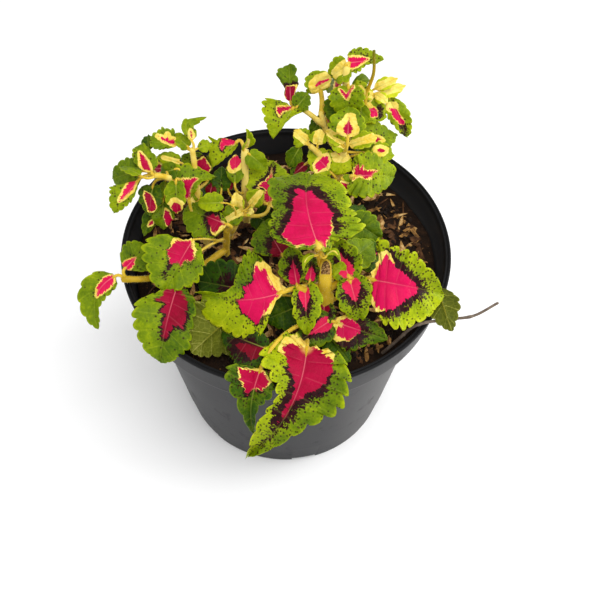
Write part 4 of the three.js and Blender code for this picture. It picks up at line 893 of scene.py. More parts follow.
def potting_soil():
    material, shade, surface, where = new_material("potting_soil", 0.95, 0.15)
    clump = shade.noise(where, 210, 4.0, 0.65)
    crumb = shade.noise(where, 1100, 4.0, 0.7)
    fleck = shade.noise(where, 620, 2.0).step(0.68, 0.74)
    paint = (clump * 0.6 + crumb * 0.5).ramp((
        (0.35, color(12, 8, 5)), (0.6, color(38, 24, 14)), (0.85, color(78, 52, 30))))
    paint = shade.mix(fleck * 0.5, paint, color(134, 96, 54))
    finish_material(shade, surface, paint, 0.8 + crumb * 0.2, crumb + clump, 0.9, 0.0006)
    return material


def litter_skin(name, stops):
    material, shade, surface, where = new_material(name, 0.85, 0.25)
    fibre = shade.noise(where, 700, 4.0, 0.7)
    patch = shade.noise(where, 150, 2.0)
    paint = (fibre * 0.45 + patch * 0.55).ramp(stops)
    finish_material(shade, surface, paint, None, fibre, 0.7, 0.0003)
    return material


def floor_paint():
    material, shade, surface, where = new_material("pale_floor", 0.9, 0.1)
    paint = shade.noise(where, 6, 2.0).ramp(((0.3, color(249, 249, 249)), (0.7, color(252, 252, 252))))
    finish_material(shade, surface, paint)
    return material


# ---- building meshes ----
def linked(name, data):
    """A new object of the scene for a mesh, a light or a camera."""
    made = bpy.data.objects.new(name, data)
    bpy.context.scene.collection.objects.link(made)
    return made


class Skin:
    """Grows one mesh out of patches of points and faces, with named values at every point."""

    def __init__(self):
        self.points, self.faces, self.materials, self.values = [], [], [], {}
        self.count = 0

    def add(self, points, faces, material=0, **values):
        points = np.asarray(points, float).reshape(-1, 3)
        self.points.append(points)
        self.faces.extend(tuple(int(corner) + self.count for corner in face) for face in faces)
        self.materials.extend([material] * len(faces))
        for name, value in values.items():
            rows = np.broadcast_to(np.asarray(value, float), (len(points), 3))
            self.values.setdefault(name, []).append(rows)
        self.count += len(points)

    def piece(self, name, materials):
        mesh = bpy.data.meshes.new(name)
        mesh.from_pydata((np.vstack(self.points) * MM).tolist(), [], self.faces)
        for value_name, parts in self.values.items():
            layer = mesh.attributes.new(value_name, "FLOAT_VECTOR", "POINT")
            layer.data.foreach_set("vector", np.vstack(parts).astype(np.float32).ravel())
        for material in materials:
            mesh.materials.append(material)
        mesh.polygons.foreach_set("material_index", self.materials)
        mesh.shade_smooth()
        mesh.update()
        return linked(name, mesh)


def grid_faces(rows, columns, wrapped=False):
    """Quads of a grid of points, row after row, the columns joined round where wrapped."""
    faces = []
    for row in range(rows - 1):
        for column in range(columns if wrapped else columns - 1):
            here = row * columns + column
            beside = row * columns + (column + 1) % columns
            faces.append((here, beside, beside + columns, here + columns))
    return faces


def closed_faces(rings, sides):
    """Faces over rings of points, closed by fans at both ends to the two points that follow them."""
    first, last, top = rings * sides, rings * sides + 1, (rings - 1) * sides
    faces = grid_faces(rings, sides, wrapped=True)
    faces += [(first, (i + 1) % sides, i) for i in range(sides)]
    faces += [(last, top + i, top + (i + 1) % sides) for i in range(sides)]
    return faces


def tube(skin, path, radii, sides, square=0.0, material=0, shear=0.0, **values):
    """A closed bar along a path, a little squared, with rounded ends. A shear cuts its top aslant."""
    path = np.asarray(path, float)
    radii = np.broadcast_to(np.asarray(radii, float), len(path)).copy()
    ahead = unit(np.gradient(path, axis=0))
    side = np.cross(ahead[0], [0.31, 0.2, 0.93])
    side = unit(side if np.linalg.norm(side) > 0.1 else np.cross(ahead[0], [1.0, 0, 0]))
    angles = np.linspace(0, 2 * math.pi, sides, endpoint=False)
    wide = 1 + square * np.cos(4 * angles)
    rings = []
    for centre, heading, radius in zip(path, ahead, radii):
        side = unit(side - heading * (side @ heading))
        rise = np.cross(heading, side)
        spokes = np.cos(angles)[:, None] * side + np.sin(angles)[:, None] * rise
        rings.append(centre + radius * wide[:, None] * spokes)
    first = path[0] - ahead[0] * radii[0] * 0.4
    last = path[-1] + ahead[-1] * radii[-1] * 0.4
    if shear:
        to_front = (rings[-1] - path[-1]) @ np.array([0, -1.0, 0])
        rings[-1] = rings[-1] - ahead[-1] * to_front[:, None] * shear
        last = path[-1]
    shares = np.linspace(0, 1, len(path))[:, None]
    given = {}
    for name, value in values.items():
        rows = np.hstack([shares, np.broadcast_to(np.asarray(value, float), (len(path), 2))])
        given[name] = np.vstack([np.repeat(rows, sides, axis=0), rows[[0, -1]]])
    skin.add(np.vstack([*rings, first, last]), closed_faces(len(path), sides), material, **given)


# ---- leaves ----
def leaf_grain(width):
    """Rows to a tooth, columns of a blade's half and its side veins, by its width."""
    if width >= 22:
        return 8, 14, 7
    if width >= 11.5:
        return 7, 10, 5
    return 6, 7, 4


def blade_grid(leaf_row, seed, shares, reaches, teeth):
    """Where the blade's points lie along and across the midrib, out to the scalloped edges."""
    scallop = np.abs(np.sin(math.pi * shares * teeth)) ** 0.7
    bite = TOOTH_DEPTH * (scallop - 0.7) * np.sin(math.pi * shares) ** 0.4
    rib = shares ** VEIN_SWEEP
    along = np.empty((len(shares), len(reaches)))
    across = np.empty_like(along)
    for side, hand in enumerate((-1, 1)):
        outline = spline_point(leaf_row["outlines"][side], shares)
        uneven = 1 + 0.09 * np.sin(5 * shares + 40 * seed + 2 * side) * (not leaf_row["own_shape"])
        edge_along = outline[:, 0] + 0.5 * bite
        edge_across = outline[:, 1] * uneven * (1 + 2 * bite)
        chosen = reaches * hand >= 0
        reach = np.abs(reaches[chosen])
        along[:, chosen] = rib[:, None] + (edge_along - rib)[:, None] * reach ** 1.12
        across[:, chosen] = hand * edge_across[:, None] * reach * (leaf_row["width"] / 2)
    return along, across


def blade_relief(leaf_row, seed, grid, across, teeth):
    """How far the upper face lies over the mid surface, and how thick the blade is below it."""
    width = leaf_row["width"]
    quilt = np.abs(np.sin(math.pi * grid.phase)) ** 0.8 * (grid.reach * (1 - grid.reach) * 4) ** 0.6
    swing = 1.2 * (leaf_row["teeth"] + 3) * grid.share + 2.4 * grid.hand + 50 * seed
    pucker = 1 + np.clip((PUCKERED_BELOW - width) / 8, 0, 1)
    wave = EDGE_WAVE * pucker * (np.sin(swing) + 0.6 * np.sin(1.9 * swing + 1)) * grid.reach ** 2
    tooth_dip = 0.014 * np.cos(2 * math.pi * grid.share * teeth) * grid.reach ** 6
    channel = channel_depth(width) * np.exp(-(across / CHANNEL_WIDTH) ** 2) * np.clip(grid.share * 5, 0, 1)
    rise = np.where(grid.hand < 0, *leaf_row["rise"]) * grid.reach ** 3
    lift = width * (QUILTING * pucker * quilt + wave + tooth_dip) - channel + rise
    ridge = 0.22 * np.exp(-((grid.phase % 1 - 0.5) ** 2 - 0.25) ** 2 / 0.002) * (1 - grid.reach)
    return lift, BLADE_THICKNESS + ridge + 0.35 * channel


def blade_faces(rows, wide):
    """The upper face, the lower face and the wall between them, with the base and the tip as points."""
    size = rows * wide
    last = size - wide
    base_top, tip_top, base_low, tip_low = range(2 * size, 2 * size + 4)
    sheet = grid_faces(rows, wide)
    top = [tuple(reversed(face)) for face in sheet]
    top += [(base_top, i, i + 1) for i in range(wide - 1)]
    top += [(tip_top, last + i + 1, last + i) for i in range(wide - 1)]
    low = [tuple(corner + size for corner in face) for face in sheet]
    low += [(base_low, size + i + 1, size + i) for i in range(wide - 1)]
    low += [(tip_low, size + last + i, size + last + i + 1) for i in range(wide - 1)]
    rim = [base_top, *range(0, size, wide), tip_top, *range(size - 1, 0, -wide)]
    rim_low = [base_low, *range(size, 2 * size, wide), tip_low, *range(2 * size - 1, size, -wide)]
    after, after_low = rim[1:] + rim[:1], rim_low[1:] + rim_low[:1]
    return top + low + list(zip(rim, rim_low, after_low, after))


def blade_values(leaf_row, seed, grid, along, across, veins):
    """What the leaf's skin needs to know at each point of both faces and at the four end points."""
    look, width = leaf_row["marking"], leaf_row["width"]
    half = width / 2
    length = np.linalg.norm(np.subtract(leaf_row["tip"], leaf_row["base"]))

    def spread(values, at_ends):
        return np.concatenate([values.ravel(), values.ravel(), at_ends * 2])

    def stack(*parts):
        return np.stack([np.broadcast_to(part, len(flat)) for part in parts], axis=1)

    flat = np.stack([spread(along, [0, 1]) * length, spread(across, [0, 0])], axis=1)
    to_core = signed_distance(flat, np.array(look["core"]) * [length, half]) + look["gap"]
    share_along = flat[:, 0] / length
    from_base = np.linalg.norm(flat, axis=1) / length
    fringe = look["fringe"] * np.clip((share_along - 0.12) / 0.2, 0, 1)
    cream = look["gap"] + look["halo"] + look["cream"] * np.clip(2 - 2 * share_along / look["cream_to"], 0, 1)
    if look["trail"]:
        to_trail = signed_distance(flat, np.array(look["trail"]) * [length, half])
        fringe = np.maximum(fringe, to_core - cream - to_trail)
    ragged = np.clip(width / FINE_BELOW, 0.36, 1)
    # A leaf's halves may have different green tones. Where one half lies in shade, its darker tone is painted
    # shade.
    green_and_shade_left, green_and_shade_right = np.broadcast_to(look["green_tone_and_shade"], 2)
    green_tone_and_shade = green_and_shade_left + (green_and_shade_right - green_and_shade_left) * (0.5 + 0.5 * np.tanh(flat[:, 1] / (0.2 * half)))
    vein_phase = spread(grid.phase * grid.hand + 9 * (grid.hand < 0), [0, veins])
    faces = np.concatenate([np.zeros(along.size), np.ones(along.size), [0, 0, 1, 1]])
    return {"leaf_marking": stack(to_core, fringe, cream) / ragged,
            "leaf_place": stack(flat[:, 1], vein_phase, spread(grid.reach, [0, 1])),
            "leaf_tone": stack(look["magenta_tone_and_shade"], green_tone_and_shade, seed),
            "leaf_side": stack(faces, look["speckle"], from_base)}


def blade(skin, leaf_row, seed):
    """One closed blade, between its scalloped edges."""
    rows_a_tooth, columns, veins = leaf_grain(leaf_row["width"])
    teeth = round(TEETH_SHOWN * leaf_row["teeth"])
    shares = np.linspace(0, 1, teeth * rows_a_tooth + 1)[1:-1]
    reaches = np.linspace(-1, 1, 2 * columns + 1)
    along, across = blade_grid(leaf_row, seed, shares, reaches, teeth)
    share, reach = np.meshgrid(shares, reaches, indexing="ij")
    grid = SimpleNamespace(share=share, reach=np.abs(reach), hand=np.sign(reach), phase=share * veins)
    lift, thickness = blade_relief(leaf_row, seed, grid, across, teeth)
    place = blade_surface(leaf_row)
    upper, facing = place(along, across, lift)
    lower = upper - facing * thickness[..., None]
    ends, ends_facing = place([0.0, 1.0], [0.0, 0.0])
    lower_ends = ends - ends_facing * BLADE_THICKNESS
    points = np.vstack([upper.reshape(-1, 3), lower.reshape(-1, 3), ends, lower_ends])
    skin.add(points, blade_faces(len(shares), len(reaches)),
             **blade_values(leaf_row, seed, grid, along, across, veins))


def bezier(root, control, end, shares):
    share = np.asarray(shares)[:, None]
    return root * (1 - share) ** 2 + control * 2 * share * (1 - share) + end * share ** 2


def leaf_stalk(skin, leaf_row, root, seed):
    """The stalk from the stem to the blade, and the rib that carries on beneath the blade."""
    thickness = (RIB_RADIUS + RIB_GROWTH * leaf_row["width"]) * leaf_row["stalk"]
    place = blade_surface(leaf_row)
    base = np.array(leaf_row["base"], float)
    just_inside, _ = place(0.02, 0.0)
    control = base - unit(just_inside - base) * np.linalg.norm(root - base) / 2
    if leaf_row["via"]:
        control = np.array(leaf_row["via"], float)
    stalk = bezier(root, control, base, np.linspace(0, 1, 9)[:-1])
    shares = np.linspace(0, RIB_END, 12)
    rib, facing = place(shares, shares * 0)
    rib_radii = thickness * 0.9 * (1 - shares / RIB_END) ** 2 + 0.12
    sunk = rib_radii + channel_depth(leaf_row["width"]) + 0.15
    rib = rib - facing * (sunk * np.clip(shares * 11, 0, 1))[:, None]
    path = np.vstack([stalk, rib])
    radii = np.concatenate([thickness * np.linspace(1.25, 1, len(stalk)), rib_radii])
    rib_tones = RIB_TONE + (STALK_TONE - RIB_TONE) * (1 - shares / RIB_END) ** 4
    tones = np.concatenate([np.full(len(stalk), STALK_TONE), rib_tones])
    tube(skin, path, radii, 8, 0.04, stem_place=np.column_stack([tones, np.full(len(path), seed)]))


def smooth_path(points, steps):
    """A centripetal Catmull-Rom curve through the points."""
    points = np.asarray(points, float)
    points = np.vstack([2 * points[0] - points[1], points, 2 * points[-1] - points[-2]])
    share = np.linspace(0, 1, steps, endpoint=False)[:, None]
    result = []
    for i in range(1, len(points) - 2):
        before, here, after, beyond = points[i - 1:i + 3]
        pairs = ((before, here), (here, after), (after, beyond))
        past, gap, ahead = [max(np.linalg.norm(b - a) ** 0.5, 1e-4) for a, b in pairs]
        middle = (after - here) / gap
        leave = ((here - before) / past - (after - before) / (past + gap) + middle) * gap
        arrive = (middle - (beyond - here) / (gap + ahead) + (beyond - after) / ahead) * gap
        result.append(cubic(here, after, leave, arrive, share))
    return np.vstack([*result, points[-2:-1]])


def nearest_on(paths, point):
    places = np.vstack(paths)
    return places[np.linalg.norm(places - np.asarray(point, float), axis=1).argmin()]


def stem_radii(stem, path, knots, taper):
    """The stem's radii: it tapers, and thickens at its knots and where its row says."""
    swelling = np.ones(len(path))
    for knot in knots:
        swelling = np.maximum(swelling, 1 + 0.16 * np.exp(-np.sum((path - knot) ** 2, axis=1) / 3))
    swelling += stem["swell"] * np.exp(-((path[:, 2] - stem["swell_height"]) / 6.5) ** 2)
    return stem["radius"] * swelling * np.linspace(*taper, len(path))


def plant_skins(plant):
    """One mesh builder for the leaves of a plant and one for its stems and stalks."""
    leaves, stems = Skin(), Skin()
    tone = plant["tone"]
    paths = []
    for i, stem in enumerate(plant["stems"]):
        points = [np.array(point, float) for point in stem["path"]]
        if i:
            points[0] = nearest_on(paths, points[0])
        path = smooth_path(points, 10)
        paths.append(path)
        nearest = [(nearest_on([path], row["from"]), row["from"]) for row in plant["leaves"]]
        knots = [place for place, wanted in nearest if np.linalg.norm(place - wanted) < KNOT_REACH]
        radii = stem_radii(stem, path, knots, (1.1, 0.85) if i else (1.04, 0.9))
        if stem["cut"]:
            path, radii = np.delete(path, (-2, -3), axis=0), np.delete(radii, (-2, -3))
            pith = path[-1] + [[0, 0, -9], [0, 0, -7.5], [0, 0, 0.12]]
            tube(stems, pith, 0.8 * radii[-1], 16, material=1, shear=stem["cut"], stem_place=(tone, 0))
        tones = tone - 0.1 * (i > 0) - stem["withered"] * np.linspace(0, 1, len(path))
        places = np.column_stack([tones, np.full(len(path), 0.37 * i)])
        tube(stems, path, radii, 12 if i else 16, 0.07, shear=stem["cut"], stem_place=places)
    for i, row in enumerate(plant["leaves"]):
        seed = (i * GOLDEN_SHARE) % 1
        blade(leaves, row, seed)
        leaf_stalk(stems, row, nearest_on(paths, row["from"]), seed)
    return leaves, stems


# ---- scattering with geometry nodes ----
def new_tree(name, sockets):
    tree = bpy.data.node_groups.new(name, "GeometryNodeTree")
    tree.interface.new_socket("Geometry", in_out="INPUT", socket_type="NodeSocketGeometry")
    for label, kind, value in sockets:
        socket = tree.interface.new_socket(label, in_out="INPUT", socket_type=kind)
        if value is not None:
            socket.default_value = value
    tree.interface.new_socket("Geometry", in_out="OUTPUT", socket_type="NodeSocketGeometry")
    return tree


def add_node(tree, kind, inputs=None, **settings):
    made = tree.nodes.new(kind)
    for name, value in settings.items():
        setattr(made, name, value)
    for name, value in (inputs or {}).items():
        if isinstance(value, bpy.types.NodeSocket):
            tree.links.new(value, made.inputs[name])
        else:
            made.inputs[name].default_value = value
    return made


def scatter_tree():
    """Strews copies of a shape over a surface: how dense, how large and how far they tip."""
    tree = new_tree("strewn_bits", (
        ("Shape", "NodeSocketObject", None), ("Density", "NodeSocketFloat", 1000.0),
        ("Smallest", "NodeSocketFloat", 0.8), ("Largest", "NodeSocketFloat", 1.2),
        ("Tip", "NodeSocketFloat", 0.3), ("Upright", "NodeSocketBool", False),
        ("Seed", "NodeSocketInt", 1), ("Finish", "NodeSocketMaterial", None)))
    given = tree.nodes.new("NodeGroupInput").outputs
    spots = add_node(tree, "GeometryNodeDistributePointsOnFaces",
                     {"Mesh": given["Geometry"], "Density": given["Density"], "Seed": given["Seed"]})
    shape = add_node(tree, "GeometryNodeObjectInfo", {"Object": given["Shape"]})
    minus = add_node(tree, "ShaderNodeMath", {0: given["Tip"], 1: -1.0}, operation="MULTIPLY")
    low = add_node(tree, "ShaderNodeCombineXYZ", {0: minus.outputs[0], 1: minus.outputs[0], 2: -math.pi})
    high = add_node(tree, "ShaderNodeCombineXYZ", {0: given["Tip"], 1: given["Tip"], 2: math.pi})
    turn = add_node(tree, "FunctionNodeRandomValue", {0: low.outputs[0], 1: high.outputs[0],
                                                       "Seed": given["Seed"]}, data_type="FLOAT_VECTOR")
    size = add_node(tree, "FunctionNodeRandomValue", {2: given["Smallest"], 3: given["Largest"],
                                                       "Seed": given["Seed"]}, data_type="FLOAT")
    standing = add_node(tree, "FunctionNodeRotateRotation", {"Rotation": spots.outputs["Rotation"],
                                                             "Rotate By": turn.outputs[0]},
                        rotation_space="LOCAL")
    plain_turn = add_node(tree, "FunctionNodeEulerToRotation", {0: turn.outputs[0]})
    turns = {"Switch": given["Upright"], "False": plain_turn.outputs[0], "True": standing.outputs[0]}
    rotation = add_node(tree, "GeometryNodeSwitch", turns, input_type="ROTATION")
    placed = add_node(tree, "GeometryNodeInstanceOnPoints", {
        "Points": spots.outputs["Points"], "Instance": shape.outputs["Geometry"],
        "Rotation": rotation.outputs[0], "Scale": size.outputs[1]})
    solid = add_node(tree, "GeometryNodeRealizeInstances", {"Geometry": placed.outputs[0]})
    painted = add_node(tree, "GeometryNodeSetMaterial", {"Geometry": solid.outputs[0],
                                                         "Material": given["Finish"]})
    add_node(tree, "NodeGroupOutput", {0: painted.outputs[0]})
    return tree


def scattered(name, ground, tree, **given):
    """The plain mesh that the scattering makes over a ground mesh."""
    carrier = linked(name, ground)
    modifier = carrier.modifiers.new("strewn", "NODES")
    modifier.node_group = tree
    named = {item.name: item.identifier for item in tree.interface.items_tree if item.in_out == "INPUT"}
    for label, value in given.items():
        modifier[named[label]] = value
    mesh = applied(carrier)
    mesh.name = name
    return mesh


def applied(carrier):
    """The mesh that an object's modifiers make, as plain data. The object goes."""
    bpy.context.view_layer.update()
    evaluated = carrier.evaluated_get(bpy.context.evaluated_depsgraph_get())
    mesh = bpy.data.meshes.new_from_object(evaluated)
    bpy.data.objects.remove(carrier)
    return mesh


def taken(builder, name):
    """A new mesh with what a builder holds. The builder is freed."""
    mesh = bpy.data.meshes.new(name)
    builder.to_mesh(mesh)
    builder.free()
    return mesh


def join_pieces(name, meshes):
    """One piece out of several meshes, each with its own material."""
    builder = bmesh.new()
    materials = []
    for mesh in meshes:
        shift, start = len(materials), len(builder.faces)
        materials.extend(mesh.materials)
        builder.from_mesh(mesh)
        builder.faces.ensure_lookup_table()
        for face in builder.faces[start:]:
            face.material_index += shift
    joined = taken(builder, name)
    for material in materials:
        joined.materials.append(material)
    return linked(name, joined)


def plain_mesh(name, points, faces):
    """A mesh from points in millimetres."""
    mesh = bpy.data.meshes.new(name)
    mesh.from_pydata((np.asarray(points, float) * MM).tolist(), [], faces)
    mesh.update()
    return mesh


def hidden_shape(name, points, faces):
    """A template for scattering, kept out of the scene."""
    return bpy.data.objects.new(name, plain_mesh(name, points, faces))


def hair_shape():
    points = [(0.045, 0, -0.05), (-0.022, 0.039, -0.05), (-0.022, -0.039, -0.05), (0.02, 0.03, 0.62)]
    return hidden_shape("hair_shape", points, [(0, 1, 3), (1, 2, 3), (2, 0, 3), (0, 2, 1)])


def spindle(name, profile, sides, flat, ridge=0.0):
    """A closed pointed shape along X: its profile is (place along, radius)."""
    points = []
    for along, radius in profile[1:-1]:
        for i in range(sides):
            angle = 2 * math.pi * i / sides
            swell = 1 + ridge * math.cos(3 * angle + along)
            points.append((along, radius * swell * math.cos(angle), flat * radius * swell * math.sin(angle)))
    points += [(profile[0][0], 0, 0), (profile[-1][0], 0, 0)]
    faces = closed_faces(len(profile) - 2, sides)
    return hidden_shape(name, points, [tuple(reversed(face)) for face in faces])


def circle(radius, height, sides):
    return [(radius * math.cos(angle), radius * math.sin(angle), height)
            for angle in np.linspace(0, 2 * math.pi, sides, endpoint=False)]


# ---- soil ----
SOIL_BOTTOM = 3.6
SOIL_EDGE = 64.6
SOIL_WALL = ((45.2, SOIL_BOTTOM), (46.1, 4.2), (59.6, 88), (62.1, 90), (64.8, 91.4))  # (radius, height)
SOIL_SIDES = 168
SOIL_RINGS = 56
LITTER_REACH = 61
LITTER_STEP = 2


def soil_height(x, y):
    broad = math.sin(x / 6.1 + 1.3) * math.cos(y / 5.3)
    spot = Vector((x, y, 3.7))
    clods = noise.fractal(spot * 0.16, 0.9, 2.1, 4)
    crumbs = noise.noise(spot * 0.9) * 0.45 + abs(noise.noise(spot * 0.42)) * 0.9
    slope = max(0.0, (math.hypot(x, y) - 56) / 9)
    return SOIL_TOP + broad * 0.8 + clods * 0.7 + crumbs - slope * 1.4


def soil_block():
    """The potting soil: a closed plug whose top is raised into clods and crumbs."""
    points = []
    for radius, height in SOIL_WALL:
        points += circle(radius, height, SOIL_SIDES)
    for ring in range(SOIL_RINGS):
        radius = SOIL_EDGE * (1 - ring / SOIL_RINGS)
        points += [(x, y, soil_height(x, y)) for x, y, _ in circle(radius, SOIL_TOP, SOIL_SIDES)]
    points += [(0, 0, SOIL_BOTTOM), (0, 0, soil_height(0, 0))]
    soil = Skin()
    soil.add(points, closed_faces(len(SOIL_WALL) + SOIL_RINGS, SOIL_SIDES))
    return soil


def soil_ground():
    """The part of the soil's top that litter lies on."""
    steps = np.arange(-LITTER_REACH, LITTER_REACH + 1, float(LITTER_STEP))
    points, index = [], {}
    for x in steps:
        for y in steps:
            if math.hypot(x, y) < LITTER_REACH:
                index[x, y] = len(points)
                points.append((x * MM, y * MM, (soil_height(x, y) + 0.15) * MM))
    faces = []
    for x, y in index:
        beyond_x, beyond_y = x + LITTER_STEP, y + LITTER_STEP
        corners = [(x, y), (beyond_x, y), (beyond_x, beyond_y), (x, beyond_y)]
        if all(corner in index for corner in corners):
            faces.append([index[corner] for corner in corners])
    mesh = bpy.data.meshes.new("soil_ground")
    mesh.from_pydata(points, [], faces)
    return mesh


# ---- pot ----
POT_SIDES = 192
GROOVES = 6
FIRST_GROOVE = -78  # degrees round the foot
GROOVE_SIZE = (15, 11.5, 6)
GROOVE_PLACE = (45.5, 0, 0)
DRAIN_RADIUS = 3.5
DRAIN_DEPTH = 20
DRAIN_PLACE = (41, 0, 0.3)
SOFT_EDGE = 0.25


POT_PROFILE = ( (0, 0.6), (36, 0.6), (37, 0), (47.2, 0), (48, 0.7), (48.3, 1.8), (50.6, 16), (50.9, 16.2),
               (61.3, 84.6), (61.7, 86), (62.6, 87.2), (64.4, 88.1), (66.3, 88.7), (67, 89.4), (67.3, 90.6),
               (69.1, 103.2), (69.3, 103.9), (69.8, 104.2), (70, 104.6), (70, 105.3), (69.8, 105.8),
               (69.4, 106), (69.0, 105.9), (68.8, 105.5), (68.5, 105.4), (68.2, 105.7), (67.9, 105.75),
               (67.6, 105.5), (67.4, 105), (67.2, 104.4), (65.3, 91.3), (64.8, 90.5), (63.9, 90.1),
               (62.4, 89.6), (60.6, 88.6), (59.9, 87.2), (46.8, 4.2), (46, 3.4), (44.8, 3.2), (0, 3.2))


def lathe(name, profile, sides):
    """A closed turned shape. The profile's first and last points are on the axis."""
    points = []
    for radius, height in profile[1:-1]:
        points += circle(radius, height, sides)
    points += [(0, 0, profile[0][1]), (0, 0, profile[-1][1])]
    return plain_mesh(name, points, closed_faces(len(profile) - 2, sides))


def foot_cut(angle):
    """One groove across the foot of the pot and the drain hole in it."""
    builder = bmesh.new()
    bmesh.ops.create_cube(builder, size=1)
    bmesh.ops.scale(builder, verts=builder.verts, vec=GROOVE_SIZE)
    bmesh.ops.translate(builder, verts=builder.verts, vec=GROOVE_PLACE)
    drain = bmesh.ops.create_cone(builder, cap_ends=True, segments=32, radius1=DRAIN_RADIUS,
                                  radius2=DRAIN_RADIUS, depth=DRAIN_DEPTH)
    bmesh.ops.translate(builder, verts=drain["verts"], vec=DRAIN_PLACE)
    turn = Quaternion((0, 0, 1), math.radians(angle)).to_matrix()
    bmesh.ops.rotate(builder, verts=builder.verts, cent=(0, 0, 0), matrix=turn)
    bmesh.ops.scale(builder, verts=builder.verts, vec=(MM, MM, MM))
    return taken(builder, "foot_cut")


def add_modifier(carrier, name, kind, **settings):
    modifier = carrier.modifiers.new(name, kind)
    for setting, value in settings.items():
        setattr(modifier, setting, value)


def pot_shell(material):
    joined = bmesh.new()
    for i in range(GROOVES):
        joined.from_mesh(foot_cut(FIRST_GROOVE + 360 / GROOVES * i))
    cutter = linked("foot_cuts", taken(joined, "foot_cuts"))
    shell = linked("nursery_pot", lathe("nursery_pot", POT_PROFILE, POT_SIDES))
    add_modifier(shell, "grooves", "BOOLEAN", object=cutter, operation="DIFFERENCE", solver="EXACT",
                 use_self=True)
    add_modifier(shell, "soft_edges", "BEVEL", width=SOFT_EDGE * MM, segments=2, limit_method="ANGLE",
                 angle_limit=math.radians(40))
    mesh = applied(shell)
    bpy.data.objects.remove(cutter)
    mesh.materials.clear()
    mesh.materials.append(material)
    mesh.shade_smooth()
    mesh.set_sharp_from_angle(angle=math.radians(38))
    return linked("nursery_pot", mesh)


# ---- dry stalk ----
STRAW_PATH = ((38, -46, 90), (43, -45, 97), (48, -43, 103), (51, -41.5, 106.2), (55, -40, 107.4),
              (66, -38, 108), (76, -37, 109.5), (86, -32, 112))
STRAW_RADIUS = 0.72
STRAW_KNOTS = (0.3, 0.55, 0.83)  # shares of its length


def dry_stalk(material):
    path = smooth_path(STRAW_PATH, 8)
    shares = np.linspace(0, 1, len(path))
    radii = STRAW_RADIUS * np.linspace(1.05, 0.75, len(path))
    for knot in STRAW_KNOTS:
        radii *= 1 + 0.35 * np.exp(-((shares - knot) / 0.012) ** 2)
    stalk = Skin()
    tube(stalk, path, radii, 10, 0.03)
    return stalk.piece("dry_grass_stalk", [material])


# ---- putting it together ----
def dress(piece, node):
    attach(piece, "root")
    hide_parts(node)


def dress_plants(strew):
    """Each plant is one piece of stems with hairs on them and one piece of leaves."""
    leaf_finish, stem_finish, hair_finish, pith_finish = leaf_skin(), stem_skin(), hair_skin(), pith_skin()
    hair = hair_shape()
    for i, (node, plant) in enumerate(plants.items()):
        short = node.replace("leafy_stem_", "")
        leaves, stems = plant_skins(plant)
        smooth = stems.piece(f"stems_{short}", [stem_finish, pith_finish])
        bare = smooth.data
        fuzz = scattered("fuzz", bare, strew, Shape=hair, Density=9e5, Smallest=0.6, Largest=1.3,
                         Tip=0.5, Upright=True, Seed=i, Finish=hair_finish)
        bpy.data.objects.remove(smooth)
        dress(join_pieces(f"stems_{short}", [bare, fuzz]), node)
        dress(leaves.piece(f"leaves_{short}", [leaf_finish]), node)


def strewn_litter(strew):
    """The meshes of the husks, bark, fibres and crumbs that lie on the soil."""
    ground = soil_ground()
    husk = spindle("husk", ((-4.4, 0), (-3.4, 0.5), (-1.2, 1.05), (1.0, 1.1), (3.4, 0.55), (4.8, 0)),
                   6, 0.5, 0.12)
    bark = spindle("bark", ((-5, 0), (-4.2, 1.3), (-0.6, 1.0), (2.8, 1.3), (4, 0)), 5, 0.35, 0.3)
    fibre = spindle("fibre", ((-6, 0), (-4, 0.3), (0, 0.36), (4, 0.26), (6.5, 0)), 4, 0.8)
    crumb = spindle("crumb", ((-1, 0), (-0.7, 0.7), (0.1, 0.95), (0.8, 0.6), (1.05, 0)), 6, 0.8, 0.2)
    pale = litter_skin("pale_husk", (
        (0.36, color(70, 44, 20)), (0.5, color(172, 126, 66)), (0.64, color(240, 206, 140))))
    brown = litter_skin("brown_bark", (
        (0.3, color(34, 20, 12)), (0.5, color(82, 52, 28)), (0.7, color(138, 94, 52))))
    dark = litter_skin("dark_crumb", (
        (0.3, color(10, 7, 5)), (0.55, color(34, 22, 13)), (0.8, color(74, 50, 30))))
    kinds = (  # name, shape, pieces to a square metre, smallest and largest size, tip, seed, finish
        ("husks", husk, 44000.0, 0.4, 1.3, 0.7, 3, pale),
        ("barks", bark, 26000.0, 0.4, 1.3, 0.6, 5, brown),
        ("fibres", fibre, 12000.0, 0.4, 1.2, 0.4, 7, brown),
        ("crumbs", crumb, 140000.0, 0.35, 1.3, 3.1, 9, dark))
    return [scattered(name, ground, strew, Shape=shape, Density=density, Smallest=smallest,
                      Largest=largest, Tip=tip, Upright=False, Seed=seed, Finish=finish)
            for name, shape, density, smallest, largest, tip, seed, finish in kinds]


def dress_soil(strew):
    smooth = soil_block().piece("potting_soil_block", [potting_soil()])
    bare = smooth.data
    litter = strewn_litter(strew)
    bpy.data.objects.remove(smooth)
    dress(join_pieces("potting_soil", [bare, *litter]), "soil")


def dress_dry_stalk():
    finish = litter_skin("dry_stalk_skin", (
        (0.3, color(66, 54, 46)), (0.5, color(104, 90, 78)), (0.7, color(142, 128, 112))))
    dress(dry_stalk(finish), "dry_stalk")


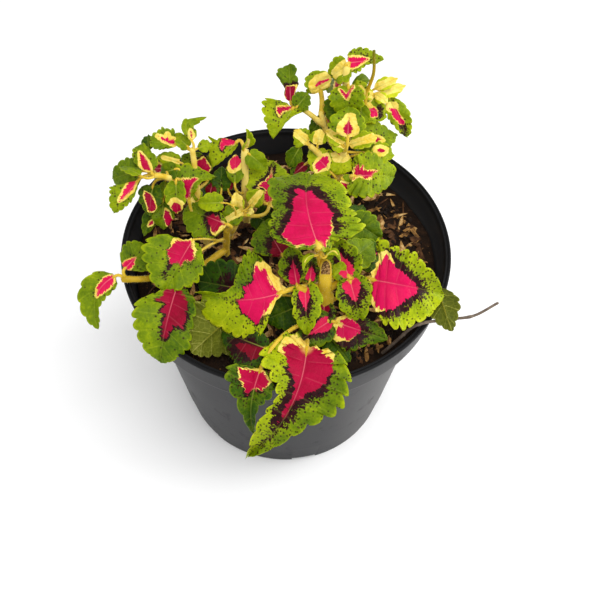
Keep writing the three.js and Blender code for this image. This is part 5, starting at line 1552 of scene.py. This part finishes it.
# ---- floor, light and camera ----
FLOOR_SIZE = 3  # metres from the middle to each side
FLOOR_DROP = 0.3  # keeps the floor clear of the pot's flat underside
CAMERA_PLACE = (6.36, -267.6, 437.3)
CAMERA_AIM = (6.36, 0, 66)
CAMERA_ROLL = 0.0254  # radians
LENS = 60
SENSOR_WIDTH = 36


def floor():
    builder = bmesh.new()
    bmesh.ops.create_grid(builder, x_segments=24, y_segments=24, size=FLOOR_SIZE)
    mesh = taken(builder, "floor")
    for vertex in mesh.vertices:
        vertex.co.z = -FLOOR_DROP * MM
    mesh.materials.append(floor_paint())
    linked("floor", mesh)


def point_at(thing, place, aim, roll=0.0):
    """Places a light or a camera, turned to look at a point."""
    place = Vector(place)
    thing.location = place
    thing.rotation_mode = "QUATERNION"
    turn = (Vector(aim) - place).to_track_quat("-Z", "Y")
    thing.rotation_quaternion = turn @ Quaternion((0, 0, 1), roll)


def soft_light(name, place, aim, size, power, spread=180):
    data = bpy.data.lights.new(name, "AREA")
    data.energy = power
    data.size = size
    data.spread = math.radians(spread)
    point_at(linked(name, data), place, aim)


def pale_surroundings():
    world = bpy.data.worlds.new("studio")
    world.use_nodes = True
    background = world.node_tree.nodes["Background"]
    background.inputs["Color"].default_value = (1, 1, 1, 1)
    background.inputs["Strength"].default_value = 0.9
    bpy.context.scene.world = world
    bpy.context.scene.view_settings.view_transform = "Standard"


def place_camera():
    data = bpy.data.cameras.new("camera")
    data.lens = LENS
    data.sensor_width = SENSOR_WIDTH
    camera = linked("camera", data)
    point_at(camera, Vector(CAMERA_PLACE) * MM, Vector(CAMERA_AIM) * MM, CAMERA_ROLL)
    bpy.context.scene.camera = camera


strewing = scatter_tree()
dress_plants(strewing)
dress(pot_shell(pot_plastic()), "pot")
dress_soil(strewing)
dress_dry_stalk()
floor()
soft_light("key", (0.24, -0.4, 1.1), (0, 0, 0.1), size=0.7, power=6.2)
soft_light("low_right", (0.5, 0.08, 0.2), (0.05, -0.03, 0.04), size=0.3, power=0.26, spread=60)
pale_surroundings()
place_camera()
